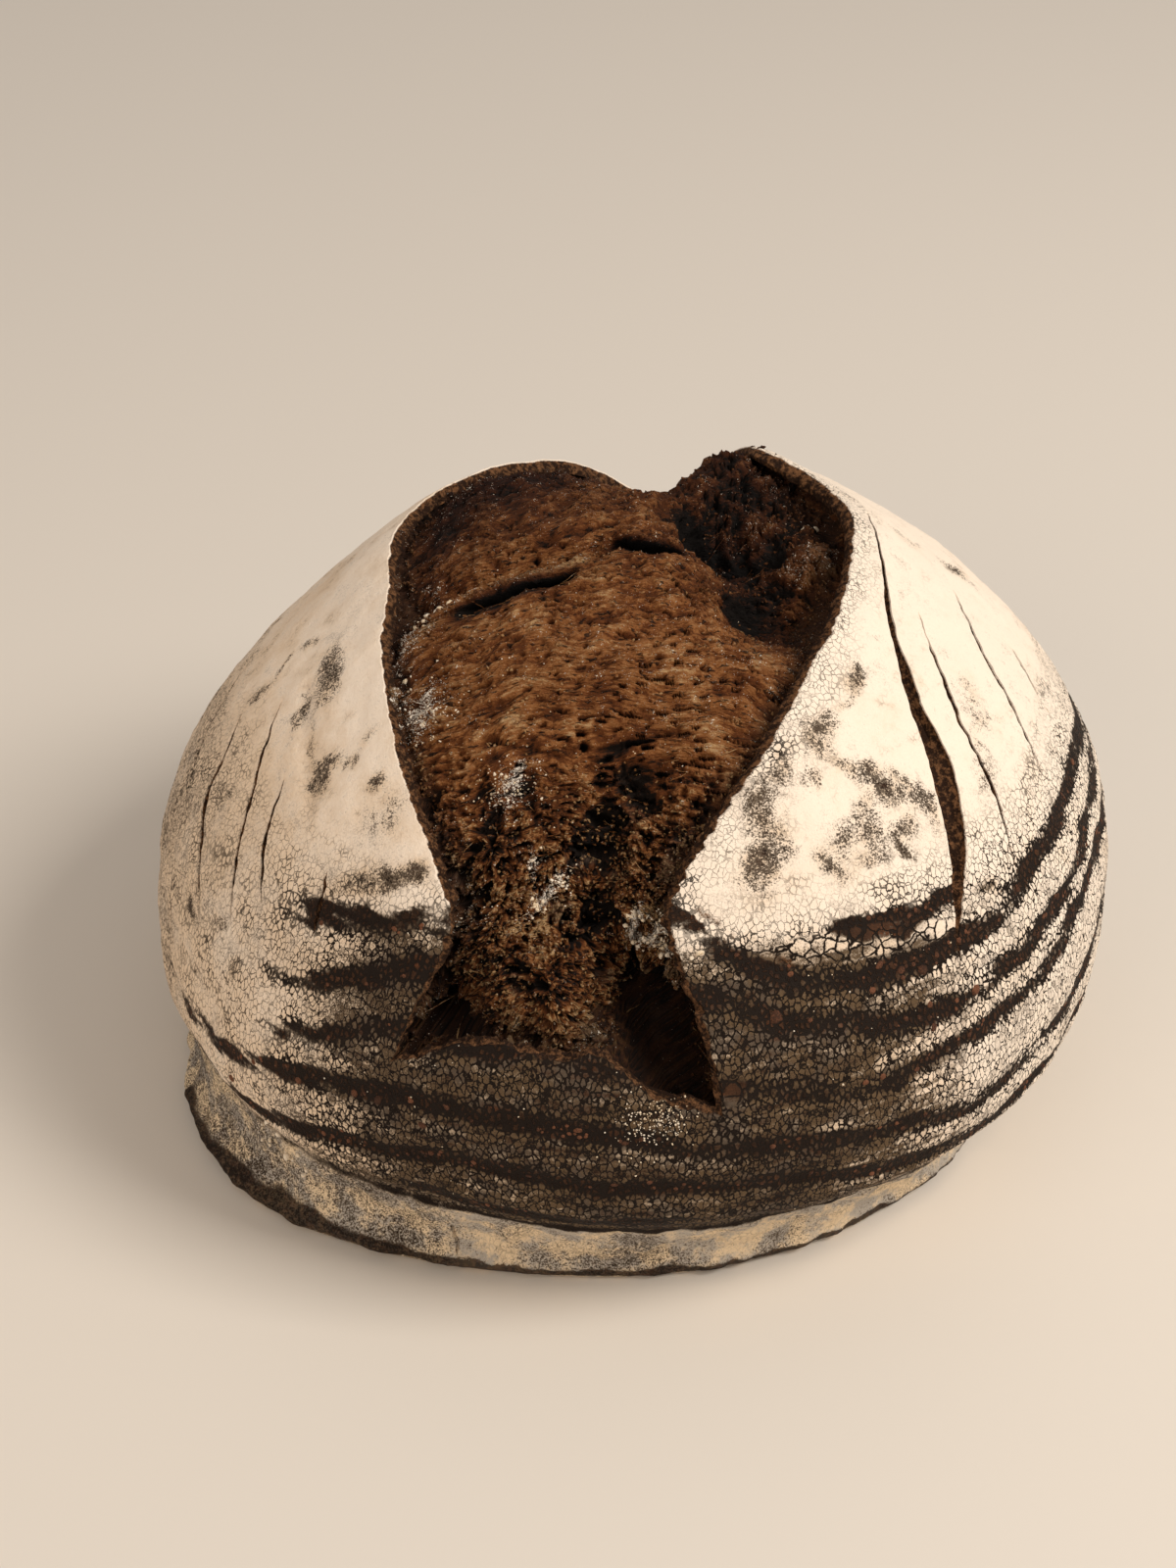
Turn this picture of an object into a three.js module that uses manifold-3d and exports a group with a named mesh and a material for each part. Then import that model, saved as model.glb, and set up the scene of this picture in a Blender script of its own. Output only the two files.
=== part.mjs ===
// A round hearth loaf of dark rye bread that burst open along its main cut.
// Millimetres, +Z up. The loaf rests on z = 0 and the burst opens towards -Y.
import * as THREE from "three";
import { mergeVertices } from "three/addons/utils/BufferGeometryUtils.js";
import Module from "manifold-3d";

// The dome.
const HALF_WIDTH = 110.5; // at the widest level, along X
const PLAN_SHARE = 0.98; // front to back, as a share of the width
const HEIGHT = 140;
const WIDEST_LEVEL = 42;
const CROWN_ROUNDNESS = 1.95; // how late the flank turns in above the widest level
const CROWN_FULLNESS = 1 / 1.65;
const TUCK = 0.2; // share of the radius lost under the widest level
const TUCK_ROUNDNESS = 2.6;
const CROWN_LEAN = 11; // the crown stands this far to the right of the base
const SWELL = 1.2; // the dome is this uneven, in waves of SWELL_LENGTH
const SWELL_LENGTH = 74;
const SWELL_START = 30; // and fully so above this level

// The foot: the dough that spread on the hearth, under a crease.
const FOOT_HEIGHT = 26;
const FOOT_RADIUS = 96.5;
const FOOT_TONGUE = 13.5; // extra reach at the front left
const TONGUE_TURN = THREE.MathUtils.degToRad(215);
const TONGUE_SPREAD = THREE.MathUtils.degToRad(30);
const FOOT_EDGE_LEVEL = 4; // height of the foot's sharpest edge
const FOOT_EDGE_ROUND = 2.5;
const FOOT_HOLLOWNESS = 0.8; // under 1, the foot's slope is hollow
const CREASE = 2.2; // depth of the crease over the foot
const CREASE_WIDTH = 3;

// The map: a flat sheet of millimetres laid on the dome round the middle of the burst.
// A place on it is [right, up], and up runs back over the crown.
const HEART = new THREE.Vector3(0, 0, 50); // the point that every wall of the burst faces
const MAP_MIDDLE = new THREE.Vector3(-10, -66.3, 113.2);
const MAP_SCALE = 100; // millimetres on the map for each radian seen from the heart

// The four sides of the burst, from left to right and from the front to the back.
const LEFT_RIM = [
  [-43, -56.5], [-36, -43], [-31, -33.5], [-29.9, -26], [-33.5, -16.3], [-45, 9], [-57.5, 41],
  [-60.5, 59], [-66.5, 78], [-68, 100], [-58, 122],
];
const RIGHT_RIM = [
  [27, -68], [24, -50], [18.2, -32.8], [17.6, -27.4], [24, -15], [37.5, 4.6], [45.7, 19],
  [60.5, 47.9], [66, 66], [67.5, 84], [62, 104], [46, 119],
];
const FRONT_RIM = [
  [-43, -56.5], [-36, -55.5], [-27, -53], [-14.5, -54], [-4.5, -56.5], [1, -55], [12.2, -63.2],
  [27, -68],
];
const BACK_RIM = [
  [-58, 122], [-47, 138], [-32, 154], [-14, 170], [6, 181], [20, 178], [34, 155], [46, 119],
];

// The torn crust is lifted off the dome at its rim, and the lift dies away over this reach.
const RIM_LIFT = 1.2;
const LIFT_REACH = 16;

// Where the whole skin stands off the dome, crust and crumb alike.
const SWELLINGS = [
  [40, 118, 17, 2.8], // the curled ear, back right
  [62, 84, 20, 1.4],
  [-44, 108, 24, 1], // upper left lobe
  [9, 146, 25, -7.5], // saddle between the ear and the lobe
  [9, 178, 24, -7.5], // and its run down the back
];

// The torn crumb lies this deep under the dome, with hollows and swells added to it:
// [right, up, reach, depth].
const CRUMB_DEPTH = 4.6;
const LEAST_DEPTH = 0.6;
const HOLLOWS = [
  [49, 56, 16, 13], // valley under the right rim
  [40, 88, 18, 17], // cave in front of the ear
  [12, 122, 11, 5], // notch in the skyline
  [4, -2, 16, 5], // torn waist
  [-2, -24, 14, 7],
  [-34, -48, 9, 11], // left cave
  [10, -44, 11, 14], // right cave
  [19, -58, 9, 12],
  [-16, 34, 30, -3.4], // swelling of the main sheet
  [-38, 108, 24, -4], // upper left lobe
  [38, 120, 13, -5], // torn wall of the ear
  [-8, -46, 7, -5], // web between the two caves
];
const FOLD = { from: [-58, 60], to: [-4, 74], width: 5, depth: 5 }; // under the upper left lobe
const CRAG = 0.6; // unevenness of the main sheet
const RAGGED_CRAG = 2; // and of the torn web at the front
const WEB_START = 12; // the sheet turns into the web from here on the map
const WEB_FULL = -28; // to here
const CRAG_LENGTH = 15;

// How far the hollow runs under the crust: [right, up, reach, undercut].
const UNDERCUTS = [
  [66, 78, 36, 6],
  [26, -56, 16, 5],
  [-40, -54, 12, 4],
];
const UNDERCUT_START = 0.86; // share of the way across from which the crumb spreads under it
const CRUST_THICKNESS = 2.4;

// The wall of the burst from the crumb up to clear air: the share of the crumb's depth and what
// is added to it, how much of the undercut is left there, and how far it leans out besides.
const WALL = [
  { share: 1, added: 0, undercut: 1, flare: 0 },
  { share: 0.6, added: 0, undercut: 0.9, flare: 0 },
  { share: 0.15, added: 0.85 * CRUST_THICKNESS, undercut: 0.2, flare: -0.4 },
  { share: 0, added: -12, undercut: 0, flare: 3 },
];

// The blade's smaller cuts: the path on the map, the gape of its thin line, the gape where it
// was pulled open and where along the path that is, and the depth.
const THIN_LINE = 1.5;
const SLITS = [
  {
    path: [[74, 74], [74, 44], [77, 22], [81, 4], [82, -12], [81, -34]],
    open: 5, openAt: 0.72, depth: 4.5,
  },
  { path: [[83, 50], [88, 23], [95, 0], [99, -18]], open: 0, openAt: 0.5, depth: 2 },
  { path: [[99, 65], [102, 45], [112, 10]], open: 0, openAt: 0.5, depth: 2 },
  { path: [[-115, 51], [-118, 25], [-117, 4]], open: 0, openAt: 0.5, depth: 2 },
  { path: [[-102, 30], [-106, 4], [-103, -28]], open: 0, openAt: 0.5, depth: 2 },
  { path: [[-88, 30], [-89, 8], [-90, -28]], open: 0, openAt: 0.5, depth: 2 },
  { path: [[-79, 6], [-81, -8], [-80, -24]], open: 0, openAt: 0.5, depth: 2 },
];
const OPEN_SPREAD = 0.2; // the pulled open stretch, as a share of the path
const SLIT_RISE = 0.15; // a slit is widest at this share of its depth above the skin
const SLIT_SIDES = 6;
const SLIT_STEPS = 16;
const TANGENT_STEP = 0.01; // share of the path between two points that give its direction

// The meshes.
const DOME_COLUMNS = 92;
const CROWN_ROWS = 18;
const FLANK_LEVELS = [36, 32, 29, 26, 23.5, 19, 13, 8, 4, 2, 0]; // down to the base
const BASE_RINGS = [0.66, 0.33, 0]; // shares of the base's radius
const BURST_COLUMNS = 28;
const BURST_ROWS = 54;
const RIM_SAMPLES = 60; // points on each side of the burst, to measure distances from it
const SKIN_PRECISION = 1e-6;
const MERGE_DISTANCE = 1e-4;

// A bell of height 1 at the middle.
const bell = (offset, spread) => Math.exp(-((offset / spread) ** 2));
const turnOffset = (turn, middle) => Math.atan2(Math.sin(turn - middle), Math.cos(turn - middle));

// An unevenness from -1 to 1: three waves that never line up.
function unevenness(p, wavelength) {
  const k = (2 * Math.PI) / wavelength;
  return (
    (Math.sin(k * (p.x + 0.37 * p.z) + 1.3) +
      Math.sin(k * (0.81 * p.y - 0.52 * p.x) + 4.1) +
      Math.sin(k * (0.93 * p.z + 0.61 * p.y) + 2.2)) / 3
  );
}

// Sum of bells, each [right, up, reach, size].
const sumOfBells = (list, place) =>
  list.reduce(
    (sum, [right, up, reach, size]) =>
      sum + size * bell(Math.hypot(place.x - right, place.y - up), reach),
    0,
  );

// Radius of the loaf at a height, in the direction of a turn about Z.
function radiusAt(height, turn) {
  const climb = (height - WIDEST_LEVEL) / (HEIGHT - WIDEST_LEVEL);
  const drop = (WIDEST_LEVEL - height) / WIDEST_LEVEL;
  const dome =
    height > WIDEST_LEVEL
      ? HALF_WIDTH * (1 - Math.min(climb, 1) ** CROWN_ROUNDNESS) ** CROWN_FULLNESS
      : HALF_WIDTH * (1 - TUCK * Math.min(drop, 1) ** TUCK_ROUNDNESS);
  const creased = dome - CREASE * bell(height - FOOT_HEIGHT, CREASE_WIDTH);
  if (height > FOOT_HEIGHT) return creased;
  const tongue = FOOT_TONGUE * bell(turnOffset(turn, TONGUE_TURN), TONGUE_SPREAD);
  const climbOfFoot = Math.max(0, height - FOOT_EDGE_LEVEL) / (FOOT_HEIGHT - FOOT_EDGE_LEVEL);
  const underEdge = Math.max(0, FOOT_EDGE_LEVEL - height) / FOOT_EDGE_LEVEL;
  const edge = FOOT_RADIUS + tongue - FOOT_EDGE_ROUND * underEdge ** 2;
  return THREE.MathUtils.lerp(edge, dome - CREASE, climbOfFoot ** FOOT_HOLLOWNESS);
}

function skinPoint(height, turn) {
  const radius = radiusAt(height, turn);
  const lean = (CROWN_LEAN * (height - WIDEST_LEVEL)) / HEIGHT;
  return new THREE.Vector3(
    radius * Math.cos(turn) + lean,
    radius * Math.sin(turn) * PLAN_SHARE,
    height,
  );
}

function isInside(p) {
  if (p.z < 0 || p.z > HEIGHT) return false;
  const x = p.x - (CROWN_LEAN * (p.z - WIDEST_LEVEL)) / HEIGHT;
  const y = p.y / PLAN_SHARE;
  return Math.hypot(x, y) < radiusAt(p.z, Math.atan2(y, x));
}

// How far the skin stands off the even dome.
const swellAt = (skin, place) =>
  SWELL * unevenness(skin, SWELL_LENGTH) * Math.min(1, skin.z / SWELL_START) +
  sumOfBells(SWELLINGS, place);

const axis = MAP_MIDDLE.clone().sub(HEART).normalize();
const rightward = new THREE.Vector3(1, 0, 0).addScaledVector(axis, -axis.x).normalize();
const upward = new THREE.Vector3().crossVectors(axis, rightward);

function directionOf(place) {
  const angle = place.length() / MAP_SCALE;
  const across = angle === 0 ? 0 : Math.sin(angle) / place.length();
  return axis
    .clone()
    .multiplyScalar(Math.cos(angle))
    .addScaledVector(rightward, across * place.x)
    .addScaledVector(upward, across * place.y);
}

function placeOf(direction) {
  const angle = Math.acos(THREE.MathUtils.clamp(direction.dot(axis), -1, 1));
  return new THREE.Vector2(direction.dot(rightward), direction.dot(upward)).setLength(
    angle * MAP_SCALE,
  );
}

// The point of the loaf at a depth under a place on the map.
function pointAt(place, depth) {
  const direction = directionOf(place);
  let inner = 0;
  let outer = 2 * HALF_WIDTH;
  while (outer - inner > SKIN_PRECISION) {
    const middle = (inner + outer) / 2;
    if (isInside(HEART.clone().addScaledVector(direction, middle))) inner = middle;
    else outer = middle;
  }
  const skin = HEART.clone().addScaledVector(direction, inner);
  return skin.addScaledVector(direction, swellAt(skin, place) - depth);
}

// The sides of the burst as curves, and the sheet stretched between them.
const curveThrough = (places) =>
  new THREE.CatmullRomCurve3(
    places.map(([right, up]) => new THREE.Vector3(right, up, 0)),
    false,
    "centripetal",
  );
const leftRim = curveThrough(LEFT_RIM);
const rightRim = curveThrough(RIGHT_RIM);
const frontRim = curveThrough(FRONT_RIM);
const backRim = curveThrough(BACK_RIM);
const rimPlaces = [leftRim, rightRim, frontRim, backRim].flatMap((rim) =>
  rim.getSpacedPoints(RIM_SAMPLES),
);

// The place at a share of the way across the burst and a share of the way along it.
function sheetPlace(across, along) {
  const mix = THREE.MathUtils.lerp;
  const left = leftRim.getPointAt(along);
  const right = rightRim.getPointAt(along);
  const front = frontRim.getPointAt(across);
  const back = backRim.getPointAt(across);
  const corner = (axisName) =>
    mix(
      mix(leftRim.points[0][axisName], rightRim.points[0][axisName], across),
      mix(leftRim.points.at(-1)[axisName], rightRim.points.at(-1)[axisName], across),
      along,
    );
  const coordinate = (axisName) =>
    mix(left[axisName], right[axisName], across) +
    mix(front[axisName], back[axisName], along) -
    corner(axisName);
  return new THREE.Vector2(coordinate("x"), coordinate("y"));
}

// The way out of the burst at a place near its sides, and nothing in its middle.
function wayOut(across, along) {
  const nearEnd = (share) => THREE.MathUtils.smoothstep(share, UNDERCUT_START, 1);
  const sideways = rightRim.getPointAt(along).sub(leftRim.getPointAt(along)).normalize();
  const endways = backRim.getPointAt(across).sub(frontRim.getPointAt(across)).normalize();
  return sideways
    .multiplyScalar(nearEnd(across) - nearEnd(1 - across))
    .addScaledVector(endways, nearEnd(along) - nearEnd(1 - along));
}

function crumbDepth(place) {
  const from = new THREE.Vector2(...FOLD.from);
  const course = new THREE.Vector2(...FOLD.to).sub(from);
  const share = THREE.MathUtils.clamp(
    place.clone().sub(from).dot(course) / course.lengthSq(), 0, 1,
  );
  const foldDistance = place.distanceTo(from.addScaledVector(course, share));
  const ragged = THREE.MathUtils.smoothstep(-place.y, -WEB_START, -WEB_FULL);
  const crag = unevenness(new THREE.Vector3(place.x, place.y, 0), CRAG_LENGTH);
  const depth =
    CRUMB_DEPTH +
    sumOfBells(HOLLOWS, place) +
    FOLD.depth * bell(foldDistance, FOLD.width) +
    THREE.MathUtils.lerp(CRAG, RAGGED_CRAG, ragged) * crag;
  return Math.max(LEAST_DEPTH, depth);
}

// How far the crust is lifted off the dome near the rim.
function liftAt(place) {
  const distances = rimPlaces.map((rim) => Math.hypot(place.x - rim.x, place.y - rim.y));
  return RIM_LIFT * bell(Math.min(...distances), LIFT_REACH);
}

// Only position is kept, and vertices that meet become one.
function joined(geometry) {
  geometry.deleteAttribute("normal");
  geometry.deleteAttribute("uv");
  return mergeVertices(geometry, MERGE_DISTANCE);
}

// The uncut dome: the rows of a sphere, laid at the levels of the loaf and across its base.
function domeGeometry() {
  const crownLevels = Array.from({ length: CROWN_ROWS + 1 }, (_, row) => {
    const angle = (Math.PI / 2) * (1 - row / CROWN_ROWS);
    return THREE.MathUtils.lerp(WIDEST_LEVEL, HEIGHT, Math.sin(angle));
  });
  const rows = [
    ...crownLevels.map((level) => ({ level, ring: 1 })),
    ...FLANK_LEVELS.map((level) => ({ level, ring: 1 })),
    ...BASE_RINGS.map((ring) => ({ level: 0, ring })),
  ];
  const sphere = new THREE.SphereGeometry(1, DOME_COLUMNS, rows.length - 1);
  const position = sphere.getAttribute("position");
  rows.forEach(({ level, ring }, row) => {
    for (let column = 0; column <= DOME_COLUMNS; column++) {
      const turn = (2 * Math.PI * (column % DOME_COLUMNS)) / DOME_COLUMNS;
      const p = skinPoint(level, turn);
      if (level > 0) {
        const direction = p.clone().sub(HEART).normalize();
        const place = placeOf(direction);
        p.addScaledVector(direction, swellAt(p, place) + liftAt(place));
      }
      if (ring < 1) p.multiplyScalar(ring);
      position.setXYZ(row * (DOME_COLUMNS + 1) + column, p.x, p.y, p.z);
    }
  });
  return joined(sphere);
}

// What the burst takes out of the dome: a box bent on to the map, from the crumb to clear air.
function burstGeometry() {
  const steps = [BURST_COLUMNS, BURST_ROWS, WALL.length - 1];
  const box = new THREE.BoxGeometry(1, 1, 1, ...steps);
  const position = box.getAttribute("position");
  for (let i = 0; i < position.count; i++) {
    const corner = [position.getX(i), position.getY(i), position.getZ(i)];
    const [column, row, level] = corner.map((share, k) => Math.round((share + 0.5) * steps[k]));
    const across = column / BURST_COLUMNS;
    const along = row / BURST_ROWS;
    const { share, added, undercut, flare } = WALL[level];
    const place = sheetPlace(across, along);
    const depth = share * crumbDepth(place) + added;
    const outwards = undercut * sumOfBells(UNDERCUTS, place) + flare;
    const p = pointAt(place.addScaledVector(wayOut(across, along), outwards), depth);
    position.setXYZ(i, p.x, p.y, p.z);
  }
  return joined(box);
}

// A blade's cut: a sphere drawn out along the cut, pointed at both ends, standing in the crust.
function slitGeometry({ path, open, openAt, depth }) {
  const course = curveThrough(path);
  const sphere = new THREE.SphereGeometry(1, SLIT_SIDES, SLIT_STEPS);
  const position = sphere.getAttribute("position");
  const corner = new THREE.Vector3();
  const skinAt = (share) => {
    const place = course.getPointAt(share);
    return pointAt(place, -liftAt(place));
  };
  for (let i = 0; i < position.count; i++) {
    corner.fromBufferAttribute(position, i);
    const share = (1 - corner.y) / 2;
    const p = skinAt(share);
    const outward = p.clone().sub(HEART).normalize();
    const ahead = skinAt(Math.min(1, share + TANGENT_STEP));
    const behind = skinAt(Math.max(0, share - TANGENT_STEP));
    const forward = ahead.sub(behind);
    const sideways = outward.clone().cross(forward).normalize();
    const halfGape = (THIN_LINE + open * bell(share - openAt, OPEN_SPREAD)) / 2;
    p.addScaledVector(sideways, corner.x * halfGape);
    p.addScaledVector(outward, (corner.z + SLIT_RISE) * depth);
    position.setXYZ(i, p.x, p.y, p.z);
  }
  return joined(sphere);
}

const wasm = await Module();
wasm.setup();

function solidOf(geometry) {
  return new wasm.Manifold(
    new wasm.Mesh({
      numProp: 3,
      vertProperties: geometry.getAttribute("position").array,
      triVerts: new Uint32Array(geometry.index.array),
    }),
  );
}

function geometryOf(solid) {
  const mesh = solid.getMesh();
  return new THREE.BufferGeometry()
    .setAttribute("position", new THREE.BufferAttribute(mesh.vertProperties, 3))
    .setIndex(new THREE.BufferAttribute(mesh.triVerts, 1));
}

function makeLoaf() {
  let loaf = solidOf(domeGeometry()).subtract(solidOf(burstGeometry()));
  for (const slit of SLITS) loaf = loaf.subtract(solidOf(slitGeometry(slit)));
  const mesh = new THREE.Mesh(
    geometryOf(loaf),
    new THREE.MeshStandardMaterial({ color: 0x5a4a3c, roughness: 0.9, metalness: 0 }),
  );
  mesh.name = "loaf";
  return mesh;
}

const bread = new THREE.Group();
bread.add(makeLoaf());

export default bread;
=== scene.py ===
# %% [markdown]
# # A dark rye loaf that burst in the oven
# This loaf is a dome of floured crust that tore open along its main cut, so a bed of dark crumb
# shows. The whole shape is worked out in millimetres from a few named sizes. Crust and crumb are
# two pieces, because they need different detail: the crust is smooth with fine cracks in its
# colour, the crumb is strings and pores in its very shape.

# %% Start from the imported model
import math

import bpy
import numpy as np
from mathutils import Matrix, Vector
from mathutils.bvhtree import BVHTree


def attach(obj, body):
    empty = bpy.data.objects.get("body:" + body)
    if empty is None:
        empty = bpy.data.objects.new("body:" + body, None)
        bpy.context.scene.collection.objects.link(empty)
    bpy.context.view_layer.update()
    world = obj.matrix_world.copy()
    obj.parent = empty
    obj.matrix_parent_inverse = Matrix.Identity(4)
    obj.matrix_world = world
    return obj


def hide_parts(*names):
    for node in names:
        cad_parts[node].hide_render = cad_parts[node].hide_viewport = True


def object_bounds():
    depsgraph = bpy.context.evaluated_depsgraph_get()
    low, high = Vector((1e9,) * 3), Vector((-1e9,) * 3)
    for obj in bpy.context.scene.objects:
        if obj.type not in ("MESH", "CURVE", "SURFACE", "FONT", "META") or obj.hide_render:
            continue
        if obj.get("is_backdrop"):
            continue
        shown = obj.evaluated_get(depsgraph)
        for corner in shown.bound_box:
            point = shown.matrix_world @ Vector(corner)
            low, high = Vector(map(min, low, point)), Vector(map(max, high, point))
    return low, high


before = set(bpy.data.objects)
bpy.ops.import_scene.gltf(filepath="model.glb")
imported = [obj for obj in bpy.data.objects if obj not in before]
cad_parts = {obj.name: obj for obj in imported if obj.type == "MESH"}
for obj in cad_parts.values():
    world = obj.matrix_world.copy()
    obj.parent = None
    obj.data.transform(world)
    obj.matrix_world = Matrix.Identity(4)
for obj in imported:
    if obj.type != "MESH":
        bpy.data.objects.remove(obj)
cad_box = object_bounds()
MM = 0.001
print("the frame spans", [[round(v, 4) for v in corner] for corner in cad_box])

# %% [markdown]
# ## The camera
# The picture looks down on the loaf from the front. A long lens from 65 cm keeps its round
# outline calm. The lens follows from how many pixels a millimetre of bread takes in the picture.

# %% Stand the camera
LOOK_AT = Vector((-10, 0, 65)) * MM
CAMERA_DISTANCE = 650
CAMERA_RISE = math.radians(36)
PIXELS_PER_MM = 4.43
IMAGE_HEIGHT = 1600
SENSOR = 36

bpy.ops.object.select_all(action="DESELECT")
backwards = Vector((0, -math.cos(CAMERA_RISE), math.sin(CAMERA_RISE)))
bpy.ops.object.camera_add(
    location=LOOK_AT + backwards * CAMERA_DISTANCE * MM,
    rotation=(math.pi / 2 - CAMERA_RISE, 0, 0),
)
camera = bpy.context.object
camera.data.sensor_width = SENSOR
camera.data.lens = CAMERA_DISTANCE * PIXELS_PER_MM * SENSOR / IMAGE_HEIGHT
bpy.context.scene.camera = camera
print("lens", round(camera.data.lens, 1), "mm")

# %% [markdown]
# ## Floor and light
# Bread looks dry and floury under a broad soft light, and its cracks and strings need that light
# to come from one side. A large lamp stands high at the right and a little in front, and a pale
# sky fills the shade on the left.


# %% Colours are given as a screen shows them
def screen_colour(red, green, blue):
    shares = (value / 255 for value in (red, green, blue))
    return tuple(((s + 0.055) / 1.055) ** 2.4 if s > 0.04045 else s / 12.92 for s in shares) + (1,)


# %% Lay the floor
FLOOR_SIZE = 6
bpy.ops.mesh.primitive_plane_add(size=FLOOR_SIZE)
floor = bpy.context.object
floor.name = "floor"
floor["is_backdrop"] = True
floor_paint = bpy.data.materials.new("floor_paint")
floor_paint.use_nodes = True
floor_shader = floor_paint.node_tree.nodes["Principled BSDF"]
floor_shader.inputs["Base Color"].default_value = screen_colour(228, 220, 210)
floor_shader.inputs["Roughness"].default_value = 0.8
floor.data.materials.append(floor_paint)


# %% Hang the lamps and the sky
def hang_lamp(name, place, size, watts, colour):
    """A square lamp that shines at the loaf. Its place and size are in metres."""
    bpy.ops.object.light_add(type="AREA", location=place)
    lamp = bpy.context.object
    lamp.name = name
    lamp.rotation_euler = (LOOK_AT - Vector(place)).to_track_quat("-Z", "Y").to_euler()
    lamp.data.size = size
    lamp.data.energy = watts
    lamp.data.color = colour[:3]
    return lamp


SKY_STRENGTH = 0.42
hang_lamp("key_lamp", (0.95, -0.35, 1.15), 0.6, 16, screen_colour(255, 248, 238))
hang_lamp("front_lamp", (-0.8, -1.0, 0.7), 0.9, 5, screen_colour(255, 236, 214))
sky = bpy.data.worlds.new("sky")
sky.use_nodes = True
sky.node_tree.nodes["Background"].inputs["Color"].default_value = screen_colour(252, 244, 236)
sky.node_tree.nodes["Background"].inputs["Strength"].default_value = SKY_STRENGTH
bpy.context.scene.world = sky
bpy.context.scene.view_settings.view_transform = "Standard"
print("two lamps and a sky")

# %% [markdown]
# ## The dome in numbers
# A hearth loaf is a flattened dome that tucks in towards its base, with a foot of dough that
# spread on the oven floor under a crease. Its radius is a formula of the level and of the turn
# about the vertical, so every later step can ask where the skin is.

# %% Sizes of the dome and its foot, in millimetres
HALF_WIDTH = 110.5
PLAN_SHARE = 0.98
HEIGHT = 140
WIDEST_LEVEL = 42
CROWN_ROUNDNESS = 1.95
CROWN_FULLNESS = 1 / 1.65
TUCK = 0.2
TUCK_ROUNDNESS = 2.6
CROWN_LEAN = 11
FOOT_HEIGHT = 26
FOOT_RADIUS = 96.5
FOOT_TONGUE = 13.5
TONGUE_TURN = math.radians(215)
TONGUE_SPREAD = math.radians(30)
FOOT_EDGE_LEVEL = 4
FOOT_EDGE_ROUND = 2.5
FOOT_HOLLOWNESS = 0.8
CREASE = 2.2
CREASE_WIDTH = 3


# %% The radius of the loaf at a level and a turn
def bell(offset, spread):
    return np.exp(-((offset / spread) ** 2))


def smooth_step(value, start, end):
    share = np.clip((value - start) / (end - start), 0, 1)
    return share * share * (3 - 2 * share)


def radius_at(level, turn):
    climb = np.clip((level - WIDEST_LEVEL) / (HEIGHT - WIDEST_LEVEL), 0, 1)
    drop = np.clip((WIDEST_LEVEL - level) / WIDEST_LEVEL, 0, 1)
    crown = HALF_WIDTH * (1 - climb**CROWN_ROUNDNESS) ** CROWN_FULLNESS
    flank = HALF_WIDTH * (1 - TUCK * drop**TUCK_ROUNDNESS)
    dome = np.where(level > WIDEST_LEVEL, crown, flank)
    creased = dome - CREASE * bell(level - FOOT_HEIGHT, CREASE_WIDTH)
    off_tongue = np.arctan2(np.sin(turn - TONGUE_TURN), np.cos(turn - TONGUE_TURN))
    tongue = FOOT_TONGUE * bell(off_tongue, TONGUE_SPREAD)
    foot_climb = np.clip((level - FOOT_EDGE_LEVEL) / (FOOT_HEIGHT - FOOT_EDGE_LEVEL), 0, 1)
    under_edge = np.clip((FOOT_EDGE_LEVEL - level) / FOOT_EDGE_LEVEL, 0, 1)
    edge = FOOT_RADIUS + tongue - FOOT_EDGE_ROUND * under_edge**2
    foot = edge + (dome - CREASE - edge) * foot_climb**FOOT_HOLLOWNESS
    return np.where(level > FOOT_HEIGHT, creased, foot)


def skin_point(level, turn):
    radius = radius_at(level, turn)
    lean = CROWN_LEAN * (level - WIDEST_LEVEL) / HEIGHT
    along_y = radius * np.sin(turn) * PLAN_SHARE
    return np.stack([radius * np.cos(turn) + lean, along_y, level], axis=-1)


def is_inside(points):
    x = points[:, 0] - CROWN_LEAN * (points[:, 2] - WIDEST_LEVEL) / HEIGHT
    y = points[:, 1] / PLAN_SHARE
    in_range = (points[:, 2] >= 0) & (points[:, 2] <= HEIGHT)
    return in_range & (np.hypot(x, y) < radius_at(points[:, 2], np.arctan2(y, x)))


# %% [markdown]
# ## A map on the dome
# The burst, the blade's cuts and the flour are easiest to place on a flat sheet. The map is such
# a sheet of millimetres round the middle of the burst, laid on the dome by angle as seen from a
# point in the heart of the loaf. Its second axis runs up and back over the crown.

# %% Places on the map and on the skin
HEART = np.array([0, 0, 50.0])
MAP_MIDDLE = np.array([-10, -66.3, 113.2])
MAP_SCALE = 100
SKIN_STEPS = 28

axis = (MAP_MIDDLE - HEART) / np.linalg.norm(MAP_MIDDLE - HEART)
rightward = np.array([1, 0, 0]) - axis * axis[0]
rightward /= np.linalg.norm(rightward)
upward = np.cross(axis, rightward)


def direction_of(place):
    reach = np.hypot(place[:, 0], place[:, 1])
    angle = reach / MAP_SCALE
    across = np.sin(angle) / np.maximum(reach, 1e-9)
    sideways = place[:, :1] * rightward + place[:, 1:2] * upward
    return np.cos(angle)[:, None] * axis + across[:, None] * sideways


def place_of(points):
    direction = (points - HEART) / np.linalg.norm(points - HEART, axis=1)[:, None]
    angle = np.arccos(np.clip(direction @ axis, -1, 1)) * MAP_SCALE
    flat = np.stack([direction @ rightward, direction @ upward], axis=-1)
    return flat * (angle / np.maximum(np.hypot(flat[:, 0], flat[:, 1]), 1e-9))[:, None]


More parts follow.
